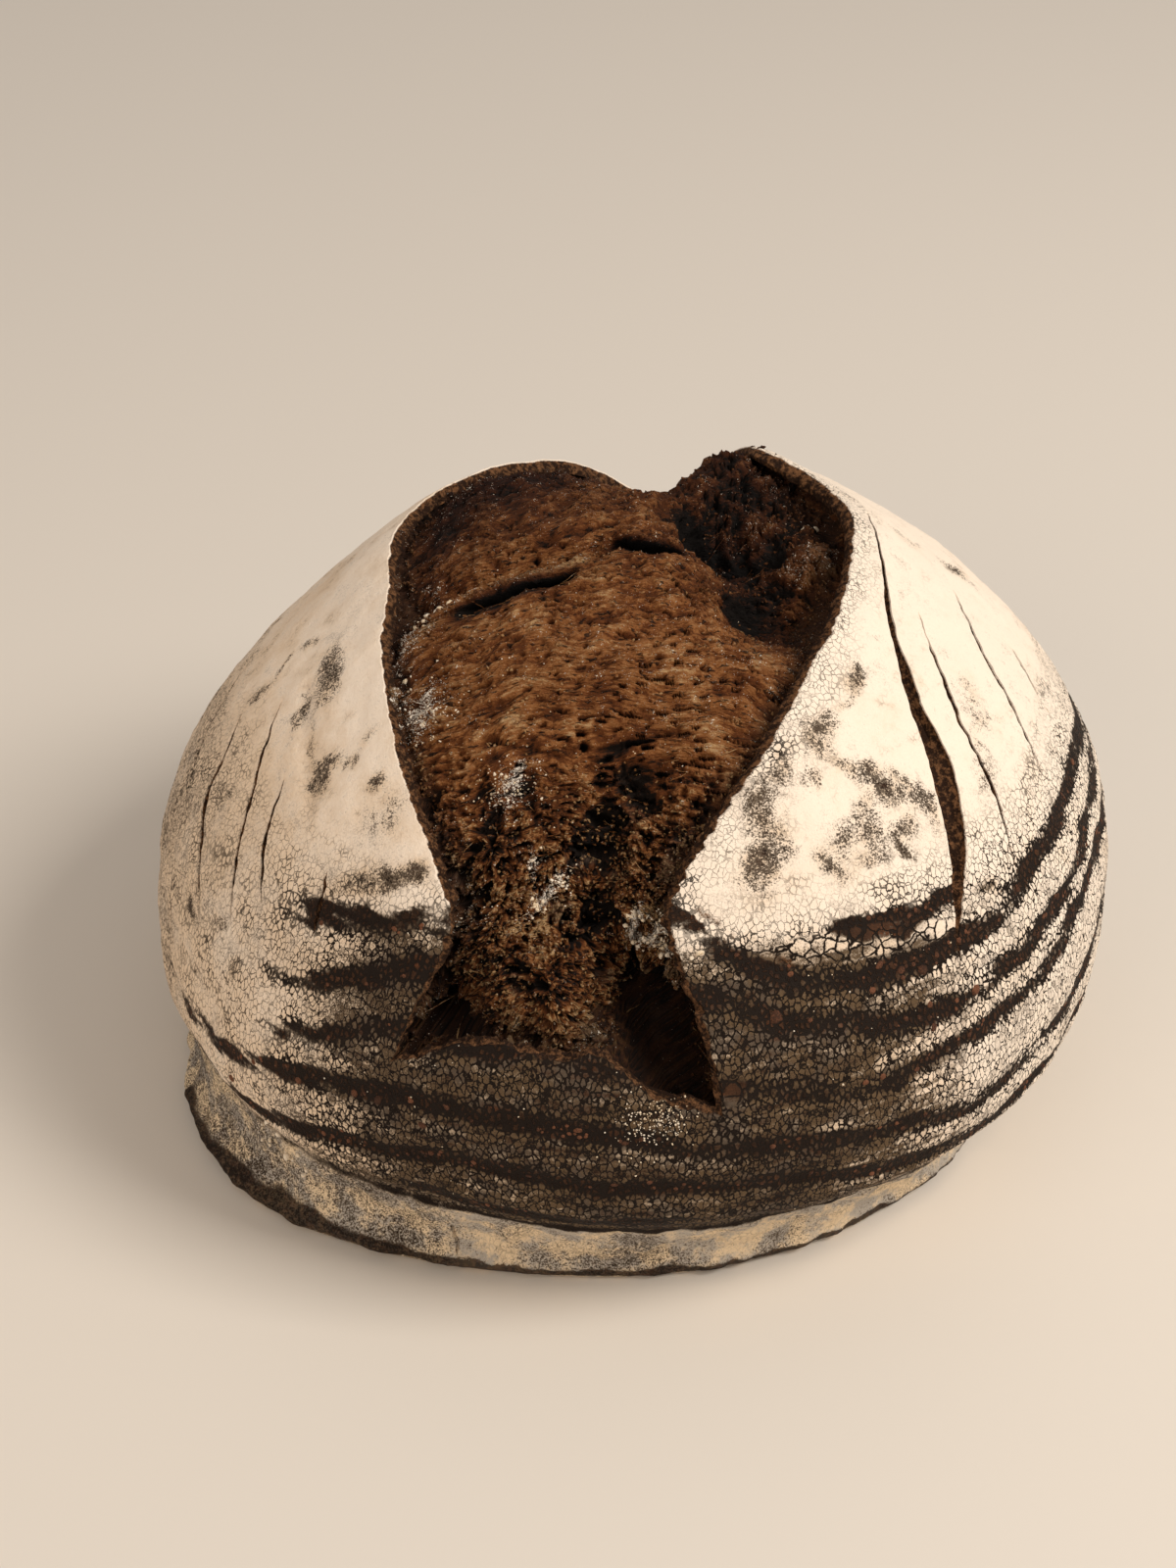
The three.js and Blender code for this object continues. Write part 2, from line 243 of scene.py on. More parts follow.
# %% How uneven the dome is
SWELL = 1.2
SWELL_LENGTH = 74
SWELL_START = 30
SWELLINGS = [
    # right and up on the map, reach, height
    (40, 118, 17, 2.8),
    (62, 84, 20, 1.4),
    (-44, 108, 24, 1),
    (9, 146, 25, -7.5),
    (9, 178, 24, -7.5),
]


def unevenness(x, y, z, wavelength):
    k = 2 * math.pi / wavelength
    first = np.sin(k * (x + 0.37 * z) + 1.3)
    second = np.sin(k * (0.81 * y - 0.52 * x) + 4.1)
    third = np.sin(k * (0.93 * z + 0.61 * y) + 2.2)
    return (first + second + third) / 3


def sum_of_bells(bells, place):
    total = np.zeros(len(place))
    for right, up, reach, size in bells:
        total += size * bell(np.hypot(place[:, 0] - right, place[:, 1] - up), reach)
    return total


def swell_at(skin, place):
    waves = unevenness(skin[:, 0], skin[:, 1], skin[:, 2], SWELL_LENGTH)
    return SWELL * waves * np.clip(skin[:, 2] / SWELL_START, 0, 1) + sum_of_bells(SWELLINGS, place)


# %% The point at a depth under a place on the map
def point_at(place, depth):
    direction = direction_of(place)
    inner = np.zeros(len(place))
    outer = np.full(len(place), 2.0 * HALF_WIDTH)
    for _ in range(SKIN_STEPS):
        middle = (inner + outer) / 2
        inside = is_inside(HEART + direction * middle[:, None])
        inner = np.where(inside, middle, inner)
        outer = np.where(inside, outer, middle)
    skin = HEART + direction * inner[:, None]
    return skin + direction * (swell_at(skin, place) - depth)[:, None]


print("crown of the dome at", np.round(skin_point(np.array([130.0]), np.array([0.0])), 1))

# %% [markdown]
# ## Noise for baked surfaces
# Nothing on bread repeats, yet all of it has a typical size. Gradient noise gives bumps of one
# size, and layers of it at halved sizes give the look of dough. Cell noise gives round bubbles
# with walls between them. Both are worked out here, for vertices, from one fixed seed.

# %% Gradient noise and cell noise
SEED = 11
TABLE_SIZE = 4096
shuffle = np.random.default_rng(SEED)
GRADIENTS = shuffle.normal(size=(TABLE_SIZE, 3))
GRADIENTS /= np.linalg.norm(GRADIENTS, axis=1)[:, None]
CELL_POINTS = shuffle.random((TABLE_SIZE, 3))


def table_index(cell):
    mixed = cell[:, 0] * 73856093 ^ cell[:, 1] * 19349663 ^ cell[:, 2] * 83492791
    return (mixed ^ mixed >> 13) % TABLE_SIZE


def noise_at(points):
    """Gradient noise from about -1 to 1, with bumps about one unit wide."""
    cell = np.floor(points).astype(np.int64)
    offset = points - cell
    ease = offset * offset * offset * (offset * (offset * 6 - 15) + 10)
    total = np.zeros(len(points))
    for corner in np.ndindex(2, 2, 2):
        gradient = GRADIENTS[table_index(cell + corner)]
        value = ((offset - corner) * gradient).sum(axis=1)
        weight = np.where(corner, ease, 1 - ease).prod(axis=1)
        total += value * weight
    return 1.6 * total


def layered_noise(points, layers):
    total = np.zeros(len(points))
    for layer in range(layers):
        total += noise_at(points * 2**layer + 17.3 * layer) / 2**layer
    return total


def shift_noise(points, size, layers, apart, axes):
    """Layered noise for each of the axes, which moves places about."""
    shifts = [layered_noise(points / size + apart * k, layers) for k in range(1, axes + 1)]
    return np.stack(shifts, axis=-1)


def bubble_distance(points):
    """Distances to the nearest and the second nearest of scattered points, one to a unit cell."""
    cell = np.floor(points).astype(np.int64)
    nearest = np.full(len(points), 9.0)
    second = np.full(len(points), 9.0)
    for corner in np.ndindex(3, 3, 3):
        neighbour = cell + corner - 1
        spot = neighbour + CELL_POINTS[table_index(neighbour)]
        distance = np.linalg.norm(points - spot, axis=1)
        second = np.minimum(second, np.maximum(nearest, distance))
        nearest = np.minimum(nearest, distance)
    return nearest, second


# %% [markdown]
# ## The four sides of the burst
# The crust tore between four sides: left, right, front and back. Each is a smooth curve through
# a few places on the map, walked at an even pace. A sheet stretched between the four sides gives
# each point inside the burst a share of the way across and a share of the way along.

# %% Curves through places, at an even pace
CURVE_SAMPLES = 40


def curve_through(places):
    """Many points on a smooth curve through the places, with the share of its length at each."""
    knots = np.array(places, dtype=float)
    knots = np.vstack([2 * knots[0] - knots[1], knots, 2 * knots[-1] - knots[-2]])
    points = []
    for before, start, end, after in zip(knots, knots[1:], knots[2:], knots[3:]):
        first, middle, last = (
            math.sqrt(np.linalg.norm(b - a)) for a, b in ((before, start), (start, end), (end, after))
        )
        chord = (end - start) / middle
        leave = (start - before) / first - (end - before) / (first + middle) + chord
        arrive = chord - (after - start) / (middle + last) + (after - end) / last
        leave, arrive = leave * middle, arrive * middle
        t = np.linspace(0, 1, CURVE_SAMPLES, endpoint=False)[:, None]
        bend = -3 * start + 3 * end - 2 * leave - arrive
        points.append(start + leave * t + bend * t**2 + (2 * start - 2 * end + leave + arrive) * t**3)
    points = np.vstack([*points, knots[-2][None]])
    length = np.concatenate([[0], np.cumsum(np.linalg.norm(np.diff(points, axis=0), axis=1))])
    return points, length / length[-1]


def walk(curve, share):
    points, length = curve
    return np.stack([np.interp(share, length, points[:, k]) for k in (0, 1)], axis=-1)


LEFT_RIM = curve_through([
    (-43, -56.5), (-36, -43), (-31, -33.5), (-29.9, -26), (-33.5, -16.3), (-45, 9), (-57.5, 41),
    (-60.5, 59), (-66.5, 78), (-68, 100), (-58, 122),
])
RIGHT_RIM = curve_through([
    (27, -68), (24, -50), (18.2, -32.8), (17.6, -27.4), (24, -15), (37.5, 4.6), (45.7, 19),
    (60.5, 47.9), (66, 66), (67.5, 84), (62, 104), (46, 119),
])
FRONT_RIM = curve_through([
    (-43, -56.5), (-36, -55.5), (-27, -53), (-14.5, -54), (-4.5, -56.5), (1, -55), (12.2, -63.2),
    (27, -68),
])
BACK_RIM = curve_through([
    (-58, 122), (-47, 138), (-32, 154), (-14, 170), (6, 181), (20, 178), (34, 155), (46, 119),
])
rim_places = np.vstack([rim[0][::8] for rim in (LEFT_RIM, RIGHT_RIM, FRONT_RIM, BACK_RIM)])
print(len(rim_places), "places round the burst")


# %% The sheet between the sides, and the way out of it
def sheet_place(across, along):
    left, right = walk(LEFT_RIM, along), walk(RIGHT_RIM, along)
    front, back = walk(FRONT_RIM, across), walk(BACK_RIM, across)
    s, t = across[:, None], along[:, None]
    front_corners = LEFT_RIM[0][0] * (1 - s) + RIGHT_RIM[0][0] * s
    back_corners = LEFT_RIM[0][-1] * (1 - s) + RIGHT_RIM[0][-1] * s
    corners = front_corners * (1 - t) + back_corners * t
    return left * (1 - s) + right * s + front * (1 - t) + back * t - corners


def way_out(across, along):
    def near_end(share):
        return smooth_step(share, UNDERCUT_START, 1)[:, None]

    sideways = walk(RIGHT_RIM, along) - walk(LEFT_RIM, along)
    endways = walk(BACK_RIM, across) - walk(FRONT_RIM, across)
    sideways /= np.linalg.norm(sideways, axis=1)[:, None]
    endways /= np.linalg.norm(endways, axis=1)[:, None]
    out = sideways * (near_end(across) - near_end(1 - across))
    return out + endways * (near_end(along) - near_end(1 - along))


# %% Sizes of the bed and the rim
CRUMB_DEPTH = 4.6
LEAST_DEPTH = 0.6
HOLLOWS = [
    # right and up on the map, reach, depth; below 0 it is a bulge
    (49, 56, 16, 13),
    (40, 88, 18, 17),
    (12, 122, 11, 5),
    (4, -2, 16, 5),
    (-2, -24, 14, 7),
    (-34, -48, 9, 7.5),
    (10, -44, 11, 14),
    (19, -58, 9, 12),
    (-16, 34, 30, -3.4),
    (-38, 108, 24, -4),
    (38, 120, 13, -5),
    (-8, -46, 7, -5),
]
FOLD = ((-58, 60), (-4, 74))
FOLD_WIDTH = 5
FOLD_DEPTH = 5
CRAG = 0.6
RAGGED_CRAG = 2
WEB_START = 12
WEB_FULL = -28
CRAG_LENGTH = 15
UNDERCUT_START = 0.86
UNDERCUTS = [(66, 78, 36, 6), (26, -56, 16, 5), (-40, -54, 12, 4)]
RIM_LIFT = 1.2
LIFT_REACH = 16


# %% How deep the crumb lies, and how the crust lifts at the rim
def distance_to_line(place, line):
    """Distance of each place from an open line through a few places."""
    best = np.full(len(place), 1e9)
    for start, end in zip(line, line[1:]):
        start, course = np.array(start), np.subtract(end, start)
        share = np.clip((place - start) @ course / (course @ course), 0, 1)
        best = np.minimum(best, np.linalg.norm(place - start - share[:, None] * course, axis=1))
    return best


def raggedness(place):
    return smooth_step(-place[:, 1], -WEB_START, -WEB_FULL)


def crumb_depth(place):
    crag = unevenness(place[:, 0], place[:, 1], 0, CRAG_LENGTH)
    fold = FOLD_DEPTH * bell(distance_to_line(place, FOLD), FOLD_WIDTH)
    rough = CRAG + (RAGGED_CRAG - CRAG) * raggedness(place)
    return np.maximum(LEAST_DEPTH, CRUMB_DEPTH + sum_of_bells(HOLLOWS, place) + fold + rough * crag)


def rim_distance(place):
    best = np.full(len(place), 1e9)
    for rim in rim_places:
        best = np.minimum(best, np.hypot(place[:, 0] - rim[0], place[:, 1] - rim[1]))
    return best


def lift_at(place):
    return RIM_LIFT * bell(rim_distance(place), LIFT_REACH)


# %% [markdown]
# ## Tools for shaping
# Each piece starts as one of Blender's primitives, and its vertices are then laid on the loaf by
# the formulas. Three small helpers read the vertices, lay them, and keep a value at each vertex
# for the materials to read.


# %% Read, lay and paint vertices
def fresh_start():
    if bpy.context.object and bpy.context.object.mode != "OBJECT":
        bpy.ops.object.mode_set(mode="OBJECT")
    bpy.ops.object.select_all(action="DESELECT")


def vertices_of(piece):
    flat = np.empty(len(piece.data.vertices) * 3)
    piece.data.vertices.foreach_get("co", flat)
    return flat.reshape(-1, 3)


def lay_vertices(piece, points):
    piece.data.vertices.foreach_set("co", np.ascontiguousarray(points * MM).ravel())
    piece.data.update()


def paint_vertices(piece, name, values):
    layer = piece.data.attributes.new(name, "FLOAT", "POINT")
    layer.data.foreach_set("value", np.ascontiguousarray(values, dtype=np.float32))


def face_outwards(piece):
    fresh_start()
    bpy.context.view_layer.objects.active = piece
    piece.select_set(True)
    bpy.ops.object.mode_set(mode="EDIT")
    bpy.ops.mesh.select_all(action="SELECT")
    bpy.ops.mesh.remove_doubles(threshold=0.01 * MM)
    bpy.ops.mesh.normals_make_consistent(inside=False)
    bpy.ops.object.mode_set(mode="OBJECT")


def cut_away(piece, cutter):
    """Takes the cutter out of the piece for good."""
    fresh_start()
    bpy.context.view_layer.objects.active = piece
    cut = piece.modifiers.new(cutter.name, "BOOLEAN")
    cut.operation = "DIFFERENCE"
    cut.solver = "MANIFOLD"
    cut.object = cutter
    bpy.ops.object.modifier_apply(modifier=cut.name)
    bpy.data.objects.remove(cutter)


# %% [markdown]
# ## The rings of the basket
# The dough proofed in a coiled cane basket. Flour stayed on the crust between the coils, and the
# coils themselves left bare dark rings, one every 11 mm. Each ring is a course of levels right
# round the loaf, with its strength where it shows and its half width.

# %% The courses of the dark rings
FIRST_TURN = 200
RINGS = [
    # a course of (turn in degrees, level), a course of (turn, strength), half width
    (
        [(288, 93), (296, 90), (302, 88), (313, 88), (320, 90)],
        [(292, 0), (295, 0.9), (313, 1), (316, 0)], 1.9,
    ),
    (
        [(200, 74), (227, 81), (235, 85), (241, 89), (275, 95), (283, 87), (288, 83), (294, 81),
         (307, 80), (315, 79), (321, 81), (328, 83), (339, 85), (350, 86), (362, 81), (420, 82),
         (500, 78), (560, 74)],
        [(200, 0.3), (222, 0.2), (227, 0.9), (243, 1), (274, 0.8), (290, 0.8), (302, 1), (316, 1),
         (324, 0.8), (362, 1), (380, 0.6), (560, 0.3)], 2.4,
    ),
    (
        [(200, 60), (228, 69), (233, 73), (239, 78), (244, 82), (262, 88), (280, 81), (287, 76),
         (294, 73), (301, 70), (309, 69), (320, 70), (329, 71), (339, 74), (351, 77), (362, 76),
         (420, 70), (480, 66), (560, 60)],
        [(200, 0.3), (224, 0.3), (229, 0.9), (245, 1), (280, 0.75), (292, 0.7), (300, 1), (318, 0.9),
         (351, 0.9), (370, 0.6), (560, 0.3)], 2.2,
    ),
    (
        [(200, 50), (218, 51), (226, 56), (233, 62), (241, 69), (262, 72), (288, 62), (298, 59),
         (306, 60), (315, 61), (325, 62), (335, 66), (348, 68), (362, 66), (420, 58), (480, 55),
         (560, 50)],
        [(200, 0.4), (222, 0.2), (227, 0.9), (250, 0.8), (280, 0.6), (300, 0.65), (348, 0.9), (365, 0.6),
         (560, 0.4)], 2.2,
    ),
    (
        [(200, 40), (215, 41), (224, 46), (231, 50), (238, 54), (248, 57), (258, 57), (269, 55),
         (275, 53), (282, 51), (289, 49), (298, 47), (310, 43), (321, 44), (332, 48), (344, 51),
         (362, 52), (420, 48), (480, 44), (560, 40)],
        [(200, 0.4), (210, 0.6), (218, 1), (262, 0.85), (290, 0.6), (312, 0.75), (340, 1), (365, 0.6),
         (560, 0.4)], 2.3,
    ),
    (
        [(200, 30), (220, 31), (228, 35), (236, 39), (242, 41), (249, 43), (257, 43), (265, 42),
         (275, 42), (286, 41), (298, 35), (310, 32), (320, 34), (345, 38), (400, 38), (480, 34),
         (560, 30)],
        [(200, 0.3), (218, 0.8), (225, 1), (320, 1), (345, 0.7), (560, 0.3)], 1.8,
    ),
    ([(240, 31), (249, 31), (256, 30), (262, 30), (280, 31)],
     [(240, 0), (248, 1), (270, 1), (279, 0)], 1.6),
]

# %% How bare the crust is
RING_WANDER = 1.1
RING_WANDER_SIZE = 13
RING_STREAK = 0.7
RING_STREAK_SIZE = (9, 9, 1.6)
RING_PATCHINESS = 0.6
RING_PATCH_SIZE = (15, 15, 4)


def table_degrees(turn):
    """Turns in degrees, counted on from the first turn of the courses."""
    return (np.degrees(turn) - FIRST_TURN) % 360 + FIRST_TURN


def read_course(course, degrees):
    """Reads a course, a list of (turn, value), at each of the turns."""
    return np.interp(degrees, *np.array(course).T)


def ring_strength(turn, level):
    """How bare the crust is: 1 on a dark ring, 0 between the rings."""
    degrees = table_degrees(turn)
    bare = np.zeros(len(turn))
    round_place = np.stack([np.cos(turn) * HALF_WIDTH, np.sin(turn) * HALF_WIDTH, level], -1)
    level = level + RING_WANDER * layered_noise(round_place / RING_WANDER_SIZE, 3)
    level += RING_STREAK * layered_noise(round_place / RING_STREAK_SIZE + 21, 2)
    patchy = 1 + RING_PATCHINESS * layered_noise(round_place / RING_PATCH_SIZE + 4, 3)
    for course, strengths, half_width in RINGS:
        shown = read_course(strengths, degrees)
        shown[(degrees < course[0][0]) | (degrees > course[-1][0])] = 0
        off = np.abs(level - read_course(course, degrees))
        bare = np.maximum(bare, shown * smooth_step(-off, -1.8 * half_width, -0.3 * half_width))
    return bare * np.clip(patchy, 0.25, 1.6)


# %% [markdown]
# ## Soft blotches in the flour
# Away from the rings the flour rubbed off in soft patches that look grey, because dark crust
# shows between the last grains. The larger patches lie where the picture has them.

# %% Blotches on the map
BLOTCHES = [
    # right, up, half length, half width, lean in degrees, strength
    (61, 27, 4, 1.8, 60, 1.0), (58, 20, 5, 1.2, 60, 0.4), (51, 13, 6.5, 3, 72, 0.75),
    (57, 5, 6, 2, -20, 0.55), (65, 1, 6, 3.6, -15, 0.75), (73, -1, 4, 3, -20, 0.45),
    (42, 5, 5, 2.2, 70, 0.65), (49, 1, 4, 1.6, 10, 0.6), (38, -6, 8, 3.6, 95, 0.8),
    (36, -18, 6.5, 4.5, 60, 0.85), (55, -11, 5, 3.2, 30, 0.5), (61, -8, 7, 2.2, 105, 0.55),
    (60, -16, 3.5, 1.8, 0, 0.5), (52, -18, 4.5, 2.4, -50, 0.6), (69, -9, 4, 2.4, 20, 0.62),
    (69, -13, 1.5, 1.3, 0, 1.0), (76, -4, 7, 0.9, 100, 0.4), (90, -21, 2.2, 1.6, 60, 0.9),
    (93, 27, 11, 4.5, 95, 0.3), (99, 22, 4, 3, 0, 0.25), (93, 8, 9, 4, 80, 0.3),
    (133, 50, 6, 4, 60, 0.3), (88, 85, 8, 2.5, -10, 0.3), (105, 77, 7, 3.5, -30, 0.45),
    (-116, 71, 1.3, 1, 0, 0.9), (-98, 35, 4.5, 2, 35, 0.7), (-93, 44, 4.5, 1, 70, 0.5),
    (-86, 49, 6, 1.3, 5, 0.5), (-73, 35, 8.5, 4.2, 100, 0.9), (-79, 24, 7, 1.5, 95, 0.5),
    (-67, 6, 5.5, 3.4, 60, 0.85), (-72, 14, 8, 1.4, 110, 0.5), (-58, 9, 2.4, 1.6, 30, 0.6),
    (-49, 2, 2.4, 1.8, 20, 1.0), (-61, 21, 3, 2, 0, 0.3), (-54, 14, 3, 2, 40, 0.35),
    (-47, -6, 7, 6, 0, 0.35), (-47, -19.5, 8.5, 2.6, 8, 0.95), (-38, -19, 3, 2.4, 40, 0.8),
    (-108, -23, 3.4, 1.5, -60, 1.0), (-94, -28, 2, 1.6, 0, 0.5), (-87, -38, 1.6, 1.5, 0, 1.0),
    (-98, 5, 4, 3, 0, 0.25), (-73, -6, 3, 2, 0, 0.2),
]
CREAM_BARS = [(-50, -24.6, 9, 1.7, 4, 0.6), (-40, -24, 4, 1.6, 30, 0.5)]


def sum_of_patches(patches, place):
    total = np.zeros(len(place))
    for right, up, long, wide, lean, strength in patches:
        x, y = place[:, 0] - right, place[:, 1] - up
        c, s = math.cos(math.radians(lean)), math.sin(math.radians(lean))
        total += strength * np.exp(-(((x * c + y * s) / long) ** 2 + ((y * c - x * s) / wide) ** 2))
    return total


# %% How much flour the crust kept
FLOUR_START = 82
FLOUR_FULL = 94
FLOUR_HIGH = 0.98
FLOUR_PATCHINESS = 0.1
FLOUR_PATCH_SIZE = 21
APRON_FLOUR = [
    (200, 0.84), (213, 0.94), (226, 0.84), (240, 0.33), (252, 0.2), (288, 0.18), (300, 0.46),
    (312, 0.8), (338, 0.92), (362, 0.88), (440, 0.84), (560, 0.8),
]
FOOT_FLOUR = [(200, 0.6), (235, 0.62), (252, 0.86), (300, 0.9), (560, 0.7)]
BLOTCH_SHARE = 0.78
BLOTCH_WANDER = 1.9
BLOTCH_WANDER_SIZE = 6
BLOTCH_GRAIN_SIZE = 2.6
FOOT_PATCHINESS = 0.3


def flour_at(points, turn, place):
    """How thick the flour lies: 1 where all of it stayed, 0 on bare crust."""
    degrees = table_degrees(turn)
    level = points[:, 2]
    apron = read_course(APRON_FLOUR, degrees)
    high = smooth_step(level, FLOUR_START, FLOUR_FULL)
    flour = apron + (FLOUR_HIGH - apron) * high
    shift = shift_noise(points, BLOTCH_WANDER_SIZE, 3, 50, 2)
    worn = sum_of_patches(BLOTCHES, place + BLOTCH_WANDER * shift)
    flour -= BLOTCH_SHARE * worn * (0.9 + 0.5 * layered_noise(points / BLOTCH_GRAIN_SIZE + 8, 2))
    flour += sum_of_patches(CREAM_BARS, place)
    patchy = layered_noise(points / FLOUR_PATCH_SIZE, 3)
    flour += FLOUR_PATCHINESS * patchy * (1 - 0.5 * high)
    foot = smooth_step(-level, -FOOT_HEIGHT - 1, -FOOT_HEIGHT + 4)
    foot_flour = read_course(FOOT_FLOUR, degrees) + FOOT_PATCHINESS * patchy
    return flour * (1 - foot) + foot * foot_flour


# %% [markdown]
# ## The crust
# The crust is the whole dome with the burst cut out of it. A UV sphere is laid on the dome,
# because its rows follow the levels of the loaf and its columns the turn, and the columns stand
# closer together at the front, where the cracks are near the eye.

# %% Lay a sphere on the dome
CRUST_COLUMNS = 420
CRUST_ROWS = 205
CROWN_SHARE = 0.6
FLANK_SHARE = 0.33
FRONT_CROWDING = 0.35
FRONT_TURN = -math.pi / 2

fresh_start()
bpy.ops.mesh.primitive_uv_sphere_add(segments=CRUST_COLUMNS, ring_count=CRUST_ROWS, radius=1)
crust = bpy.context.object
crust.name = "crust"
ball = vertices_of(crust)
row = np.arccos(np.clip(ball[:, 2], -1, 1)) / math.pi
column = np.arctan2(ball[:, 1], ball[:, 0]) - FRONT_TURN
turn = FRONT_TURN + column - FRONT_CROWDING * np.sin(column)
crown_angle = np.clip(row / CROWN_SHARE, 0, 1) * math.pi / 2
crown_level = WIDEST_LEVEL + (HEIGHT - WIDEST_LEVEL) * np.cos(crown_angle)
flank_level = WIDEST_LEVEL * (1 - np.clip((row - CROWN_SHARE) / FLANK_SHARE, 0, 1))
base_share = np.clip((1 - row) / (1 - CROWN_SHARE - FLANK_SHARE), 0, 1)
level = np.where(row < CROWN_SHARE, crown_level, flank_level)
skin = skin_point(level, turn)

# %% [markdown]
# On top of the dome's even form the crust has its own low relief: soft lumps, a shallow dent
# along each bare ring, and a step where the blade lifted a flap at the left.

# %% Add the low relief
LUMP = 0.45
LUMP_SIZE = 15
PIMPLE = 0.2
PIMPLE_SIZE = 3.6
FOOT_LUMP = 1.1
FOOT_LUMP_SIZE = 8
RING_DENT = 0.45
FLAP_STEP = 0.9
FLAP_LINE = [(-81, 32), (-77, 17), (-72, 4), (-70, 0)]


def relief_at(points, turn, place):
    """Height of the crust's own relief over the even dome."""
    lumps = LUMP * layered_noise(points / LUMP_SIZE, 2)
    pimples = PIMPLE * layered_noise(points / PIMPLE_SIZE, 3)
    on_foot = smooth_step(-points[:, 2], -FOOT_HEIGHT, -FOOT_HEIGHT + 6)
    lumps += FOOT_LUMP * on_foot * layered_noise(points / FOOT_LUMP_SIZE, 3)
    dent = RING_DENT * ring_strength(turn, points[:, 2])
    away = distance_to_line(place, FLAP_LINE)
    line_up = np.interp(place[:, 1], *np.array(FLAP_LINE[::-1]).T[::-1])
    flap = FLAP_STEP * bell(away, 4) * (place[:, 0] > line_up)
    return lumps + pimples - dent - flap


place = place_of(skin)
outward = (skin - HEART) / np.linalg.norm(skin - HEART, axis=1)[:, None]
raised = swell_at(skin, place) + lift_at(place)
raised += relief_at(skin, turn, place) * smooth_step(level, 0, 3)
dome = skin + outward * (raised * (level > 0))[:, None]
dome[:, :2] *= base_share[:, None]
dome[level <= 0, 2] = 0
lay_vertices(crust, dome)
face_outwards(crust)
print("crust dome of", len(crust.data.vertices), "vertices")

# %% [markdown]
# The burst is cut out with a box that is bent on to the map. Its walls are the torn edge of the
# crust, so they lean, undercut and wander a little. Its floor lies well under the crumb, which is
# a piece of its own.

# %% A box with walls in rows
CUTTER_COLUMNS = 46
CUTTER_ROWS = 260
CRUST_THICKNESS = 2.4
RIM_RAG = 0.75
RIM_RAG_SIZE = 2.6
CRUST_WALL = [
    # share of the crumb's depth, depth added, share of the undercut, flare, share of the lip
    (1, 13, 1, 1.5, 0),
    (0.6, 0, 0.9, 1.5, 0.2),
    (0.15, 1.1 * CRUST_THICKNESS, 0.2, 0, 1),
    (0.08, 0.8 * CRUST_THICKNESS, 0.1, -0.2, 1),
    (0.03, 0.35 * CRUST_THICKNESS, 0, -0.2, 0.6),
    (0, -0.3, 0, 0.1, 0),
    (0, -12, 0, 3, 0),
]
LIP = 1.9
LIP_LEAST = 0.3
LIP_GROWS = (0, 30)


def bent_box(name, columns, rows, walls):
    """A grid pulled up into a box, one row of wall for each entry of the list after the first."""
    fresh_start()
    bpy.ops.mesh.primitive_grid_add(x_subdivisions=columns, y_subdivisions=rows, size=1)
    box = bpy.context.object
    box.name = name
    bpy.ops.object.mode_set(mode="EDIT")
    bpy.ops.mesh.select_all(action="SELECT")
    for _ in walls[1:]:
        bpy.ops.mesh.extrude_region_move(TRANSFORM_OT_translate={"value": (0, 0, 1)})
    bpy.ops.object.mode_set(mode="OBJECT")
    return box


def rim_rag(place, depth):
    at = np.column_stack([place, depth]) / RIM_RAG_SIZE
    return RIM_RAG * (1 + raggedness(place)) * layered_noise(at, 3)


# %% Bend the box into the burst and cut it out
burst = bent_box("burst", CUTTER_COLUMNS, CUTTER_ROWS, CRUST_WALL)
corner = vertices_of(burst)
across, along = corner[:, 0] + 0.5, corner[:, 1] + 0.5
share, added, undercut, flare, lip = np.array(CRUST_WALL)[np.round(corner[:, 2]).astype(int)].T
place = sheet_place(across, along)
depth = share * crumb_depth(place) + added
lip *= LIP * (LIP_LEAST + (1 - LIP_LEAST) * smooth_step(place[:, 0], *LIP_GROWS))
outwards = undercut * sum_of_bells(UNDERCUTS, place) + flare - lip + rim_rag(place, 2 * depth)
spot = place + way_out(across, along) * outwards[:, None]
lay_vertices(burst, point_at(spot, depth - lift_at(spot)))
face_outwards(burst)
cut_away(crust, burst)
print("crust with its burst:", len(crust.data.vertices), "vertices")

# %% [markdown]
# The baker's blade also made smaller cuts. Most stayed thin lines, and one was pulled open as the
# loaf rose. Each is cut with a sphere that is drawn out along its course, pointed at both ends.

# %% The courses of the blade's cuts
THIN_LINE = 1.35
OPEN_SPREAD = 0.22
SLIT_RISE = 0.15
SLIT_SIDES = 10
SLIT_STEPS = 110
JAG = 0.5
JAG_SIZE = 2.2
SLITS = [
    # the path on the map, extra gape, share of the way where it gapes most, depth
    ([(74, 88), (74, 60), (74, 44), (77, 22), (81, 4), (82, -12), (81, -30), (81, -42)],
     5.6, 0.68, 3.2),
    ([(83, 52), (88, 23), (95, 0), (99, -18)], 0, 0.5, 2),
    ([(99, 66), (102, 45), (108, 23), (112, 9)], 0, 0.5, 1.6),
    ([(114, 53), (119, 39), (123, 28)], -0.3, 0.5, 1),
    ([(-115, 52), (-118, 25), (-117, 4)], 0.2, 0.5, 2.6),
    ([(-103, 30), (-103, 17), (-106, 4), (-104, -22), (-103, -29)], 0.4, 0.5, 2.6),
    ([(-88, 31), (-89, 8), (-90, -10), (-90, -29)], 0, 0.5, 2.4),
    ([(-79, 7), (-81, -8), (-80, -24)], 0.1, 0.5, 2.4),
    ([(-61, -17), (-62, -23), (-64, -32)], -0.2, 0.5, 2),
    ([(-41, -105), (-41, -109), (-40.6, -113)], -0.4, 0.5, 1.8),
]


